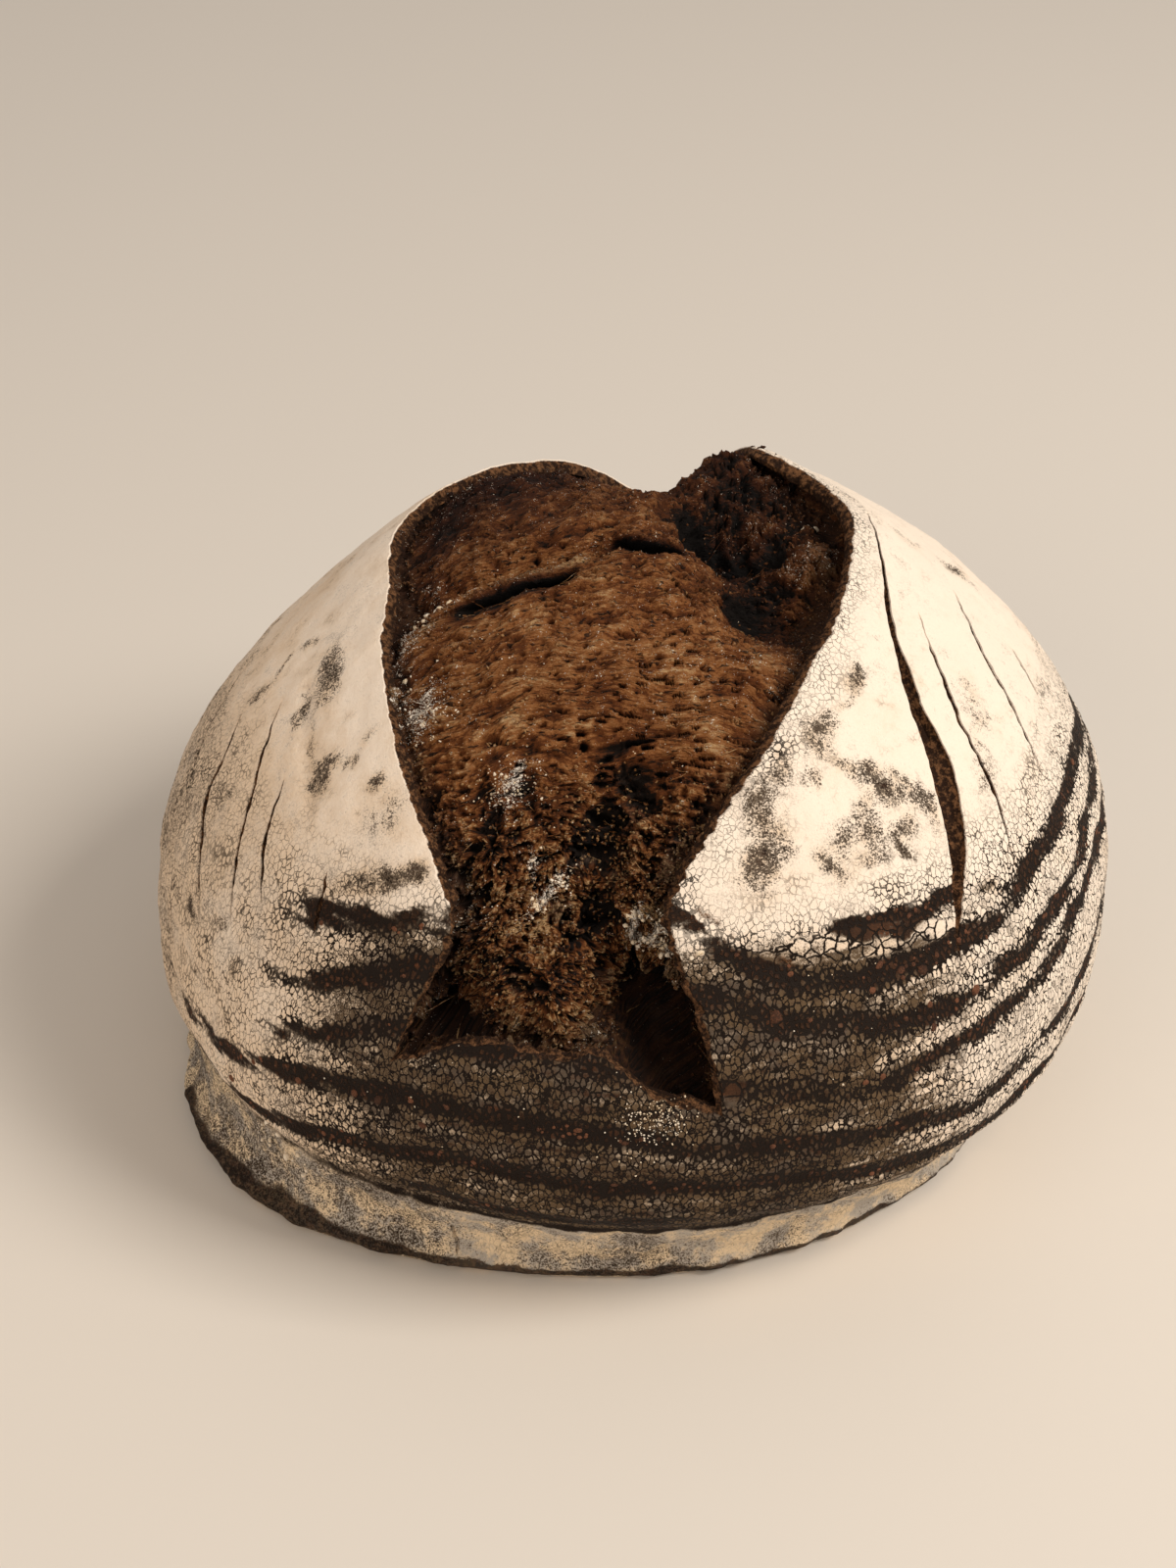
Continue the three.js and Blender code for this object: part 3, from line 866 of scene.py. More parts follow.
# %% Draw a sphere out along each cut
def slit_cutter(path, gape, widest, depth):
    fresh_start()
    bpy.ops.mesh.primitive_uv_sphere_add(segments=SLIT_SIDES, ring_count=SLIT_STEPS, radius=1)
    cutter = bpy.context.object
    ball = vertices_of(cutter)
    share = (1 - ball[:, 2]) / 2
    course = curve_through(path)

    def skin_along(shares):
        places = walk(course, np.clip(shares, 0, 1))
        return point_at(places, -lift_at(places))

    middle = skin_along(share)
    outward = middle - HEART
    outward /= np.linalg.norm(outward, axis=1)[:, None]
    sideways = np.cross(outward, skin_along(share + 0.01) - skin_along(share - 0.01))
    sideways /= np.linalg.norm(sideways, axis=1)[:, None]
    jag = JAG * layered_noise(np.stack([middle[:, 0], middle[:, 2], ball[:, 0] * 3], -1) / JAG_SIZE, 2)
    half_gape = (THIN_LINE + gape * bell(share - widest, OPEN_SPREAD)) / 2
    x = (ball[:, 0] * half_gape + jag * np.abs(ball[:, 0]))[:, None]
    z = ((ball[:, 1] + SLIT_RISE) * depth)[:, None]
    lay_vertices(cutter, middle + sideways * x + outward * z)
    face_outwards(cutter)
    return cutter


cutters = [slit_cutter(*slit) for slit in SLITS]
for cutter in cutters:
    cut_away(crust, cutter)
print("crust with its slits:", len(crust.data.vertices), "vertices")

# %% [markdown]
# The material needs to know a few things at each vertex: how much flour lies there, how bare the
# rings are, how strongly the crust crackled, and how far under the skin a torn wall has come.

# %% How far under the skin a torn wall has come
TORN_ABOVE = 32
DEEPEST_TORN = 6


def depth_under_skin(points, turn, place):
    skin = point_at(place, 0)
    skin_reach = np.linalg.norm(skin - HEART, axis=1) + lift_at(place)
    skin_reach += relief_at(skin, turn, place)
    return skin_reach - np.linalg.norm(points - HEART, axis=1)


points = vertices_of(crust) / MM
turn = np.arctan2(points[:, 1] / PLAN_SHARE, points[:, 0])
degrees = table_degrees(turn)
place = place_of(points)
torn = np.where(points[:, 2] > TORN_ABOVE, depth_under_skin(points, turn, place), 0)
print("deepest torn wall", round(float(torn.max()), 1), "mm")

# %% How strongly the crust crackled
FOOT_BLEND = 5
CRACKLE_TOP = 104
CRACKLE_FULL = 80
CRACKLE_LEAST = 0.06
RIM_CRACKLE = 0.45
RIM_CRACKLE_REACH = 7
FRONT_CRACKLE = [(200, 0.25), (225, 0.5), (250, 1), (345, 1), (380, 0.5), (560, 0.4)]
BROAD_PLATES = [(58, -33, 26, 3.6, 8, 1.0), (29, -62, 5, 3, 70, 0.7), (-40, -28, 5, 3, 0, 0.7)]

on_foot = smooth_step(-points[:, 2], -FOOT_HEIGHT, -FOOT_HEIGHT + FOOT_BLEND)
low = smooth_step(-points[:, 2], -CRACKLE_TOP, -CRACKLE_FULL) * read_course(FRONT_CRACKLE, degrees)
by_rim = RIM_CRACKLE * bell(rim_distance(place), RIM_CRACKLE_REACH) * (place[:, 0] > 0)
crackled = CRACKLE_LEAST + (1 - CRACKLE_LEAST) * np.maximum(low, by_rim)
crackled *= 1 - 0.85 * on_foot
print("half of the crust crackled more than", round(float(np.median(crackled)), 2))

# %% [markdown]
# The foot is brown along its lower edge. The crease above it is painted dark, as painted shade
# under the overhang, and the shaded left of the loaf is painted a warmer cream, as painted warm shade.

# %% Brown the foot, paint shade into the crease and paint warm shade on the left
FOOT_BROWN_LEVEL = [(200, 3.4), (225, 4.4), (240, 3.0), (290, 2.6), (560, 2.0)]
FOOT_BROWN_WIDTH = [(200, 2.4), (225, 3.0), (240, 1.8), (290, 1.6), (560, 1.1)]
FOOT_BROWN_SIZE = (9, 9, 4)
CREASE_PAINTED_SHADE = [(205, 0.5), (240, 0.8), (262, 1), (300, 0.8), (340, 0.4)]
CREASE_DROP = 2
CREASE_SHADE_WIDTH = 3.2
LEFT_WARM_SHADE = 0.85
WARM_SHADE_FROM_LEFT = (10, 95)
WARM_SHADE_PATCHINESS = 0.35
WARM_SHADE_PATCH_SIZE = 26

foot_noise = layered_noise(points / FOOT_BROWN_SIZE + 12, 3)
above_brown = points[:, 2] - read_course(FOOT_BROWN_LEVEL, degrees) - 0.8 * foot_noise
foot_brown = bell(above_brown, read_course(FOOT_BROWN_WIDTH, degrees)) + 0.2 * foot_noise
# Painted shade: a dark band just under the crease, strongest at the front, where the dome overhangs.
in_crease = bell(points[:, 2] - FOOT_HEIGHT + CREASE_DROP, CREASE_SHADE_WIDTH)
in_crease *= read_course(CREASE_PAINTED_SHADE, degrees)
# Painted warm shade: towards the left the flour turns a warmer tan, standing in for warm light thrown
# into the loaf's shaded side.
toasted = LEFT_WARM_SHADE * smooth_step(-points[:, 0], *WARM_SHADE_FROM_LEFT)
toasted += WARM_SHADE_PATCHINESS * layered_noise(points / WARM_SHADE_PATCH_SIZE + 3, 2)

# %% Keep the values at the crust's vertices
SHARP_TURN = math.radians(38)
crust_values = {
    "flour": np.clip(flour_at(points, turn, place), 0, 1),
    "bare_ring": ring_strength(turn, points[:, 2]),
    "crackle": np.clip(crackled, 0, 1),
    "broad_plates": np.clip(sum_of_patches(BROAD_PLATES, place), 0, 1),
    "torn": np.clip(torn, 0, DEEPEST_TORN),
    "foot": on_foot,
    "foot_brown": np.clip(foot_brown * on_foot, 0, 1),
    "in_crease": in_crease,
    "toasted": np.clip(toasted, 0, 1),
}
for name, values in crust_values.items():
    paint_vertices(crust, name, values)
fresh_start()
crust.select_set(True)
bpy.context.view_layer.objects.active = crust
bpy.ops.object.shade_smooth_by_angle(angle=SHARP_TURN)
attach(crust, "root")
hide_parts("loaf")
print("crust keeps", len(crust_values), "values at its vertices")

# %% [markdown]
# ## The crumb
# Where the crust tore apart, the crumb was drawn out into strings that run across the burst, with
# long pores between them. Towards the front it tore into an open web. A grid is laid on the bed
# of the burst and up its walls, and noise that is stretched along the strings shapes it.

# %% Lay a grid on the bed of the burst and up its walls
CRUMB_COLUMNS = 200
CRUMB_ROWS = 410
WALL_COLUMNS = 14
WALL_RAG = 1.5
WALL_RAG_SIZE = 4
FRONT_PACE = 0.62
CRUMB_WALL = [
    # share of the crumb's depth, depth added, share of the undercut, flare
    (1, 0, 1, 0),
    (0.6, 0, 0.9, 0),
    (0.15, 1.7, 0.2, 0.5),
]

fresh_start()
bpy.ops.mesh.primitive_grid_add(x_subdivisions=CRUMB_COLUMNS, y_subdivisions=CRUMB_ROWS, size=2)
crumb = bpy.context.object
crumb.name = "crumb"
corner = vertices_of(crumb)
half_columns, half_rows = CRUMB_COLUMNS / 2, CRUMB_ROWS / 2
x = corner[:, 0] * half_columns
y = corner[:, 1] * half_rows
across = np.clip(0.5 + x / (2 * (half_columns - WALL_COLUMNS)), 0, 1)
row_share = np.clip(0.5 + y / (2 * (half_rows - WALL_COLUMNS)), 0, 1)
along = FRONT_PACE * row_share + (1 - FRONT_PACE) * row_share**2
climb = np.maximum(np.abs(x) - half_columns, np.abs(y) - half_rows) / WALL_COLUMNS + 1
climb = np.clip(climb, 0, 1) * (len(CRUMB_WALL) - 1)
wall_steps = np.arange(len(CRUMB_WALL))
share, added, undercut, flare = (np.interp(climb, wall_steps, v) for v in np.array(CRUMB_WALL).T)
bed = sheet_place(across, along)
depth = share * crumb_depth(bed) + added
outwards = undercut * sum_of_bells(UNDERCUTS, bed) + flare
wall_noise = layered_noise(np.column_stack([bed, 2 * depth]) / WALL_RAG_SIZE, 3)
outwards += WALL_RAG * wall_noise * np.sin(math.pi * np.clip(climb / (len(CRUMB_WALL) - 1), 0, 1))
spot = bed + way_out(across, along) * outwards[:, None]
crumb_points = point_at(spot, depth - lift_at(spot) * np.clip(climb, 0, 1))
lay_vertices(crumb, crumb_points)
print("bed of crumb:", len(crumb_points), "vertices")

# %% [markdown]
# The strings sag a little towards the front at both ends, so their noise is read along bowed
# lines. Three kinds of detail add up: strings and their pores on the drawn sheet, bubbles with
# thin walls in the torn web, and soft lumps everywhere.

# %% Sizes of the strings, the pores and the bubbles
BOW = 0.0038
WARP = 1.3
WARP_SIZE = 4
WARP_FINE_SIZE = 1.9
LAYERS = (
    # length, width and height of the ridges, on the drawn sheet and in the torn web
    (13, 3.4, 0.75, 0.5),
    (6, 1.9, 0.5, 0.6),
    (3, 1.0, 0.35, 0.5),
)
PORE_LENGTH = 4.6
PORE_WIDTH = 1.0
PORE_THICKNESS = 1.6
PORE_DEPTH = 2.4
PORE_OPENS = (0.36, 0.62)
BUBBLE_WALL = (0.06, 0.4)
BUBBLES = (
    # cell, depth, and the noise above which they open
    (6.0, 5.0, -0.12),
    (2.8, 2.7, -0.3),
    (1.3, 1.1, -0.4),
)

# %% Holes, caves, creases and crags on the map
HOLE_SHIFT = 3.2
HOLE_SHIFT_SIZE = 5
HOLES = [
    # right, up, reach, depth; below 0 it is a bump
    (0, -17, 4.4, 6), (4, -8, 4, 5), (-6, -5, 3, 2.4), (12, -3, 4, 3.2), (-23, -5, 3, 2.6),
    (-38, -3, 2.4, 4), (1, -33, 3.4, 6), (-25, -40, 4, 4), (8, 4, 5, 3), (-30, -20, 2.6, 2.2),
    (22, -12, 2.6, 3), (33, 89, 8, 6), (52, 86, 5, 5), (61, 76, 6, -3), (44, 60, 9, 3),
    (25, 96, 6, 3), (70, 92, 4, 3), (-12, -28, 6, -1.8), (13, -34, 6, -2),
]
CAVES = [(15, -57, 12, 13), (-37, -52, 8, 5)]
CAVE_DEPTH = 5
CAVE_SHIFT = 3
CAVE_WALL = (-1.05, -0.85)
CAVE_LIP = 1.4
CAVE_LIP_REACH = 1.12
CREASES = [
    # line, half width, depth; the first three are the folds' gaps
    ([(-40, 52), (-32, 56), (-18, 60), (-10, 62)], 2.3, 9),
    ([(-52, 50), (-44, 54), (-37, 54)], 1.2, 1.8),
    ([(2, 74), (12, 72), (22, 73)], 1.7, 6),
    ([(-20, 78), (-8, 82), (2, 84)], 1.0, 1.6),
    ([(-54, 46), (-40, 60), (-22, 66), (-6, 73)], 3.0, -1.8),
    ([(-26, 12), (-10, 8), (6, 10), (20, 14)], 1.0, 1.6),
]
CRAGS = [(50, 108, 30, 22, 0, 1.0), (-42, 120, 30, 16, 20, 0.75), (58, 72, 9, 16, 0, 1.0)]
CRAG_RISE = 1.9
CRAG_SIZE = 6.5

# %% Darker crumb with painted shade in the caves, the fold gaps and the ear's hollow, and floured parts of the crumb: patches on the map
DARK_CRUMB_AND_PAINTED_SHADE = [
    (40, 88, 10, 9, 0, 0.5),
    (-42, 110, 38, 30, 20, 1.0), (46, 104, 32, 26, 0, 0.75), (52, 56, 12, 28, 20, 0.7),
    (-26, 59, 17, 4, 20, 1.0), (12, 74, 13, 3, 0, 0.8), (61, 76, 9, 9, 0, 0.5),
    (20, 146, 70, 26, 0, 0.8), (-56, 62, 8, 50, 0, 0.5), (-2, -30, 44, 20, 0, 0.15),
    (20, -56, 17, 15, 0, 0.65), (-34, -50, 13, 10, 0, 0.45),
]
DUSTINGS = [
    (-43, 21, 9, 5, 70, 0.7), (-20, -1, 9, 4, 60, 0.7), (15, -37, 7, 1.5, -15, 1.3),
    (10, -31, 4, 1.3, 70, 1.2), (17, -32, 5, 1.3, 40, 1.1), (-10, -24, 7, 1.6, 50, 0.95),
    (-14, -18, 4, 1.2, 90, 0.9), (-17, 3, 5, 1.2, 80, 0.9), (-45, 24, 5, 1.3, 60, 0.9),
    (-54, 40, 5, 34, 0, 0.4), (-30, -26, 5, 10, 60, 0.4), (28, 30, 40, 22, 0, 0.12),
]


# %% Where a place lies along and across the strings
def string_coordinates(place, depth):
    """Millimetres along a string, across the strings and into the crumb."""
    at = np.column_stack([place, depth])
    wander = 4 * noise_at(at / 24) + 0.8 * noise_at(at / 7)
    up = place[:, 1] + BOW * (place[:, 0] - 6) ** 2 + wander
    return np.stack([place[:, 0], up, depth], axis=-1)


def warped(points):
    """Moves points about, so that nothing in the web runs straight."""
    shift = [
        noise_at(points / WARP_SIZE + 40 * k) + 0.5 * noise_at(points / WARP_FINE_SIZE + 9 * k)
        for k in (1, 2, 3)
    ]
    return points + WARP * np.stack(shift, axis=-1)


# %% Strings and pores, then bubbles, then holes and creases
def string_height(strings, torn_place, ragged):
    """Sharp ridges along the strings, knotted in the web, with long pores between them."""
    height = np.zeros(len(strings))
    for layer, (length, width, on_sheet, on_web) in enumerate(LAYERS):
        drawn = 1 - 1.8 * np.abs(noise_at(strings / (length, width, 2 * width) + 5 * layer))
        knotted = 1 - 1.8 * np.abs(noise_at(torn_place / (0.6 * length, width, width) + 9 * layer))
        height += on_sheet * (drawn - 0.5) * (1 - ragged) + on_web * (knotted - 0.5) * ragged
    pores = noise_at(strings / (PORE_LENGTH, PORE_WIDTH, PORE_THICKNESS) + 31)
    return height - PORE_DEPTH * smooth_step(pores, *PORE_OPENS)


def bubble_depth(torn_place):
    """Round bubbles of several sizes, open where the noise says so."""
    depth = np.zeros(len(torn_place))
    for layer, (cell, deep, opens) in enumerate(BUBBLES):
        near, second = bubble_distance(torn_place / (cell, 0.8 * cell, cell) + 3 * layer)
        opened = smooth_step(noise_at(torn_place / (1.6 * cell) + 11 * layer), opens, opens + 0.3)
        depth += deep * smooth_step(second - near, *BUBBLE_WALL) * opened
    return depth


def crumb_shape(strings, place):
    """Height of the torn crumb's detail over its bed, in millimetres."""
    ragged = raggedness(place)
    torn_place = warped(strings)
    craggy = np.clip(sum_of_patches(CRAGS, place), 0, 1)
    crags = CRAG_RISE * layered_noise(strings / CRAG_SIZE + 7, 3)
    height = (0.25 + craggy + 0.35 * ragged) * crags
    height += string_height(strings, torn_place, ragged)
    height -= np.clip(0.12 + 0.88 * ragged + 0.3 * craggy, 0, 1) * bubble_depth(torn_place)
    shift = shift_noise(strings, HOLE_SHIFT_SIZE, 2, 60, 2)
    height -= sum_of_bells(HOLES, place + HOLE_SHIFT * shift)
    for line, width, deep in CREASES:
        height -= deep * bell(distance_to_line(place + shift, line), width)
    for right, up, half_width, half_height in CAVES:
        at = (place + CAVE_SHIFT * shift - (right, up)) / (half_width, half_height)
        reach = np.hypot(at[:, 0], at[:, 1])
        height += CAVE_LIP * bell(reach - CAVE_LIP_REACH, 0.2) * (at[:, 1] > -0.3)
        height -= CAVE_DEPTH * smooth_step(-reach, *CAVE_WALL)
    return height


# %% [markdown]
# The detail moves each vertex out along its normal. Pits are kept shallow on the walls, so that
# they don't come out through the crust, and the walls get soft lumps in their place.

# %% Move the vertices out
BED_PIT = 10.5
WALL_PIT = 1.0
WALL_LUMP = 1.6
WALL_LUMP_SIZE = 3.0
strings = string_coordinates(spot, depth)
height = crumb_shape(strings, spot)
border = np.clip(climb / (len(CRUMB_WALL) - 1), 0, 1)
height *= 1 - 0.75 * smooth_step(border, 0.6, 1)
deepest_pit = BED_PIT + (WALL_PIT - BED_PIT) * smooth_step(border, 0, 0.35)
height = np.maximum(height, -deepest_pit)
wall_lumps = layered_noise(crumb_points / WALL_LUMP_SIZE + 5, 3)
height += WALL_LUMP * wall_lumps * smooth_step(border, 0, 0.2) * smooth_step(-border, -1, -0.7)
normals = np.empty(len(crumb_points) * 3)
crumb.data.vertex_normals.foreach_get("vector", normals)
normals = normals.reshape(-1, 3)
facing = np.sign((normals * (crumb_points - HEART)).sum(axis=1).mean())
crumb_points = crumb_points + normals * facing * height[:, None]
print("crumb detail from", round(float(height.min()), 1), "to", round(float(height.max()), 1), "mm")

# %% [markdown]
# Torn dough overhangs: along the folds the raised lip leans forward over the gap behind it. So
# each vertex slides along the sheet by a share of its height, the high ones towards the front.

# %% Lean the lips over and keep the values at the vertices
OVERHANG_AT_FOLDS = 1.0
OVERHANG_ANYWHERE = 0.3
OVERHANG_REACH = 4.5
OVERHANG_HEIGHTS = (-7, 4)
EDGE_REACH = 7


def paint_as_crumb(piece, place, strings, height, edge_share):
    """Keeps the values that the crumb's finish reads."""
    values = {
        "height": height, "along_string": strings[:, 0], "across_strings": strings[:, 1],
        "into_crumb": strings[:, 2], "web": raggedness(place),
        "dark": np.clip(sum_of_patches(DARK_CRUMB_AND_PAINTED_SHADE, place), 0, 1),
        "dusting": np.clip(sum_of_patches(DUSTINGS, place), 0, 1),
        "near_crust": edge_share * smooth_step(-rim_distance(place), -EDGE_REACH, -0.5),
    }
    for name, value in values.items():
        paint_vertices(piece, name, np.broadcast_to(value, len(place)))


lean = OVERHANG_ANYWHERE * raggedness(spot)
for line, _, _ in CREASES[:3]:
    lean = np.maximum(lean, OVERHANG_AT_FOLDS * bell(distance_to_line(spot, line), OVERHANG_REACH))
uphill = direction_of(spot + (0, 1)) - direction_of(spot)
uphill /= np.linalg.norm(uphill, axis=1)[:, None]
crumb_points -= uphill * (lean * np.clip(height, *OVERHANG_HEIGHTS) * (1 - border))[:, None]
lay_vertices(crumb, crumb_points)
paint_as_crumb(crumb, spot, strings, height, 1)

# %% [markdown]
# The bed is still an open sheet. Its edge is drawn out under the crust, where nothing shows, and
# then down to one point in the heart of the loaf, which closes the piece.

# %% Close the crumb inside the loaf
SKIRT = 3.0
BOTTOM = Vector((0, 0, 70)) * MM

fresh_start()
bpy.context.view_layer.objects.active = crumb
crumb.select_set(True)
bpy.ops.object.mode_set(mode="EDIT")
bpy.ops.mesh.select_mode(type="EDGE")
bpy.ops.mesh.select_all(action="SELECT")
bpy.ops.mesh.region_to_loop()
bpy.ops.mesh.extrude_region_move(TRANSFORM_OT_translate={"value": (0, 0, 0)})
bpy.ops.object.mode_set(mode="OBJECT")
skirt = np.array([v.index for v in crumb.data.vertices if v.select])
skirt_points = vertices_of(crumb)[skirt] / MM
border = np.flatnonzero(climb >= len(CRUMB_WALL) - 1)
gaps = np.linalg.norm(skirt_points[:, None] - crumb_points[border][None], axis=2)
twin = border[gaps.argmin(axis=1)]
reach = SKIRT + 0.8 * sum_of_bells(UNDERCUTS, spot[twin])
skirt_places = spot[twin] + way_out(across[twin], along[twin]) * reach[:, None]
moved = vertices_of(crumb)
moved[skirt] = point_at(skirt_places, depth[twin]) * MM
crumb.data.vertices.foreach_set("co", moved.ravel())
crumb.data.update()
bpy.ops.object.mode_set(mode="EDIT")
bpy.ops.mesh.extrude_region_move(TRANSFORM_OT_translate={"value": (0, 0, 0)})
bpy.ops.mesh.merge(type="CENTER")
bpy.ops.object.mode_set(mode="OBJECT")
for vertex in crumb.data.vertices:
    if vertex.select:
        vertex.co = BOTTOM
face_outwards(crumb)
fresh_start()
crumb.select_set(True)
bpy.context.view_layer.objects.active = crumb
bpy.ops.object.shade_smooth()
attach(crumb, "root")
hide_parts("loaf")
print("crumb piece:", len(crumb.data.vertices), "vertices,", len(crumb.data.polygons), "faces")

# %% [markdown]
# ## Tools for finishes
# A finish is a tree of nodes. These helpers add a node and fill its inputs in one go: an input
# that is given another node's output is linked to it, and one that is given a value keeps it.
# Noise runs from 0 to 1 round a half, so it is centred on zero before it is added. The number
# beside it says how much it counts, and the two numbers of a step say where it starts and ends.


# %% Add nodes, groups and materials
def add_node(tree, kind, inputs=(), **settings):
    node = tree.nodes.new("ShaderNode" + kind)
    for name, value in settings.items():
        setattr(node, name, value)
    for name, value in dict(inputs).items():
        if isinstance(value, bpy.types.NodeSocket):
            tree.links.new(value, node.inputs[name])
        else:
            node.inputs[name].default_value = value
    return node


def calculate(tree, operation, *values):
    return add_node(tree, "Math", enumerate(values), operation=operation).outputs[0]


def calculate_vector(tree, operation, first, second):
    return add_node(tree, "VectorMath", {0: first, 1: second}, operation=operation).outputs[0]


def blend_colours(tree, factor, first, second, way="MIX"):
    inputs = {0: factor, 6: first, 7: second}
    return add_node(tree, "Mix", inputs, data_type="RGBA", blend_type=way).outputs[2]


def blend_values(tree, factor, first, second):
    return add_node(tree, "Mix", {0: factor, 2: first, 3: second}, data_type="FLOAT").outputs[0]


def step_between(tree, value, start, end):
    """0 below start, 1 above end, and smooth between them."""
    inputs = {"Value": value, "From Min": start, "From Max": end}
    return add_node(tree, "MapRange", inputs, interpolation_type="SMOOTHSTEP").outputs["Result"]


def value_at_vertices(tree, name):
    return add_node(tree, "Attribute", attribute_name=name).outputs["Fac"]


def new_finish(name):
    """A material, its tree, its shader and the Object coordinates in metres."""
    finish = bpy.data.materials.new(name)
    finish.use_nodes = True
    tree = finish.node_tree
    shader = tree.nodes["Principled BSDF"]
    return finish, tree, shader, add_node(tree, "TexCoord").outputs["Object"]


def set_surface(tree, shader, colour, roughness, height, specular=0.5):
    """Gives the shader a colour, a roughness and a relief whose height is in millimetres."""
    bump = add_node(tree, "Bump", {"Strength": 1.0, "Distance": MM, "Height": height})
    tree.links.new(colour, shader.inputs["Base Color"])
    tree.links.new(roughness, shader.inputs["Roughness"])
    tree.links.new(bump.outputs["Normal"], shader.inputs["Normal"])
    shader.inputs["Specular IOR Level"].default_value = specular


def new_group(name, inputs, outputs):
    group = bpy.data.node_groups.new(name, "ShaderNodeTree")
    for label, kind, value in inputs:
        socket = group.interface.new_socket(label, in_out="INPUT", socket_type="NodeSocket" + kind)
        if kind == "Float":
            socket.default_value = value
    for label in outputs:
        group.interface.new_socket(label, in_out="OUTPUT", socket_type="NodeSocketFloat")
    entry = group.nodes.new("NodeGroupInput")
    return group, entry.outputs, group.nodes.new("NodeGroupOutput")


def use_group(tree, group, inputs):
    return add_node(tree, "Group", inputs, node_tree=group).outputs


# %% [markdown]
# ## Grain
# Flour, crust and crumb all have the same dry grain, only coarser or finer. One node group holds
# it, measured in millimetres: it gives patches some grains wide, and the grains themselves.

# %% The grain group
PER_METRE = 1000


def texture_scale(tree, size):
    """How often a texture repeats in a metre, from its size in millimetres."""
    return calculate(tree, "DIVIDE", PER_METRE, size)


grain, given, result = new_group(
    "grain", [("Vector", "Vector", None), ("Size", "Float", 1.0)], ["Patches", "Grains"]
)
patches = add_node(grain, "TexNoise", {
    "Vector": given["Vector"],
    "Scale": texture_scale(grain, calculate(grain, "MULTIPLY", given["Size"], 6)),
    "Detail": 5, "Roughness": 0.6,
})
grains = add_node(grain, "TexNoise", {
    "Vector": given["Vector"], "Scale": texture_scale(grain, given["Size"]),
    "Detail": 3, "Roughness": 0.7,
})
grain.links.new(patches.outputs["Fac"], result.inputs["Patches"])
grain.links.new(grains.outputs["Fac"], result.inputs["Grains"])


def grain_of_size(tree, place, size):
    return use_group(tree, grain, {"Vector": place, "Size": size})



# %% [markdown]
# ## Crackle
# As the skin dried it shrank and cracked into small plates. The plates are the cells of a Voronoi
# texture, a little taller than wide, whose walls are the cracks. The cells are read at places
# that noise has shifted, so no crack runs straight, and each plate gets a number of its own.

# %% The crackle group
SHARP_SHARE = 0.45
crackle, given, result = new_group(
    "crackle",
    [("Vector", "Vector", None), ("Plate Size", "Float", 2.0), ("Tallness", "Float", 1.5),
     ("Waviness", "Float", 0.5), ("Crack Width", "Float", 0.1)],
    ["Crack", "Plate"],
)
shift = add_node(crackle, "TexNoise", {
    "Vector": given["Vector"],
    "Scale": texture_scale(crackle, calculate(crackle, "MULTIPLY", given["Plate Size"], 0.6)),
    "Detail": 2,
})
centred = calculate_vector(crackle, "SUBTRACT", shift.outputs["Color"], (0.5, 0.5, 0.5))
waviness = calculate(crackle, "DIVIDE", given["Waviness"], PER_METRE)
wavy = add_node(
    crackle, "VectorMath", {0: centred, "Scale": waviness}, operation="SCALE"
)
shifted = calculate_vector(crackle, "ADD", given["Vector"], wavy.outputs[0])
flatten = add_node(
    crackle, "CombineXYZ", {0: 1.0, 1: 1.0, 2: calculate(crackle, "DIVIDE", 1, given["Tallness"])}
)
cell_place = calculate_vector(crackle, "MULTIPLY", shifted, flatten.outputs[0])
cell_scale = texture_scale(crackle, given["Plate Size"])
cells = {"Vector": cell_place, "Scale": cell_scale}
walls = add_node(crackle, "TexVoronoi", cells, feature="DISTANCE_TO_EDGE")
plates = add_node(crackle, "TexVoronoi", cells, feature="F1")
plate_number = add_node(crackle, "SeparateColor", {0: plates.outputs["Color"]})
sharp_edge = calculate(crackle, "MULTIPLY", given["Crack Width"], SHARP_SHARE)
beside_crack = step_between(crackle, walls.outputs["Distance"], sharp_edge, given["Crack Width"])
crackle.links.new(calculate(crackle, "SUBTRACT", 1, beside_crack), result.inputs["Crack"])
crackle.links.new(plate_number.outputs[0], result.inputs["Plate"])
print("groups:", [group.name for group in bpy.data.node_groups])

# %% [markdown]
# ## The finish of the crust
# Under everything is bare crust, nearly black with a red cast. Flour lies over it: thick and
# cream where it stayed, grey where only grains are left, and missing on the rings. Cracks cut
# through it down to the crust. Where the crust was torn, its wall is rough and dark brown.

# %% Colours of the crust
BARE_DARK = screen_colour(30, 18, 10)
BARE_BROWN = screen_colour(66, 42, 26)
BARE_RED = screen_colour(100, 58, 34)
THIN_FLOUR = screen_colour(112, 98, 84)
APRON_TAN = screen_colour(102, 82, 60)
APRON_GREY = screen_colour(90, 77, 65)
CREAM = screen_colour(252, 236, 218)
TAN = screen_colour(233, 208, 180)
FOOT_GREY = screen_colour(184, 175, 164)
FOOT_TAN = screen_colour(236, 212, 178)
FOOT_BROWN = screen_colour(66, 44, 30)
CRACK_BROWN = screen_colour(28, 19, 13)
TORN_DARK = screen_colour(42, 26, 16)
TORN_BROWN = screen_colour(118, 82, 54)


# %% Sums of noise
def centred_on_zero(tree, value, amount):
    return calculate(tree, "MULTIPLY", calculate(tree, "SUBTRACT", value, 0.5), amount)


def add_up(tree, *values):
    total = values[0]
    for value in values[1:]:
        total = calculate(tree, "ADD", total, value)
    return total


def share_of(tree, value, amount):
    return calculate(tree, "MULTIPLY", value, amount)


def inverse_of(tree, value):
    return calculate(tree, "SUBTRACT", 1, value)


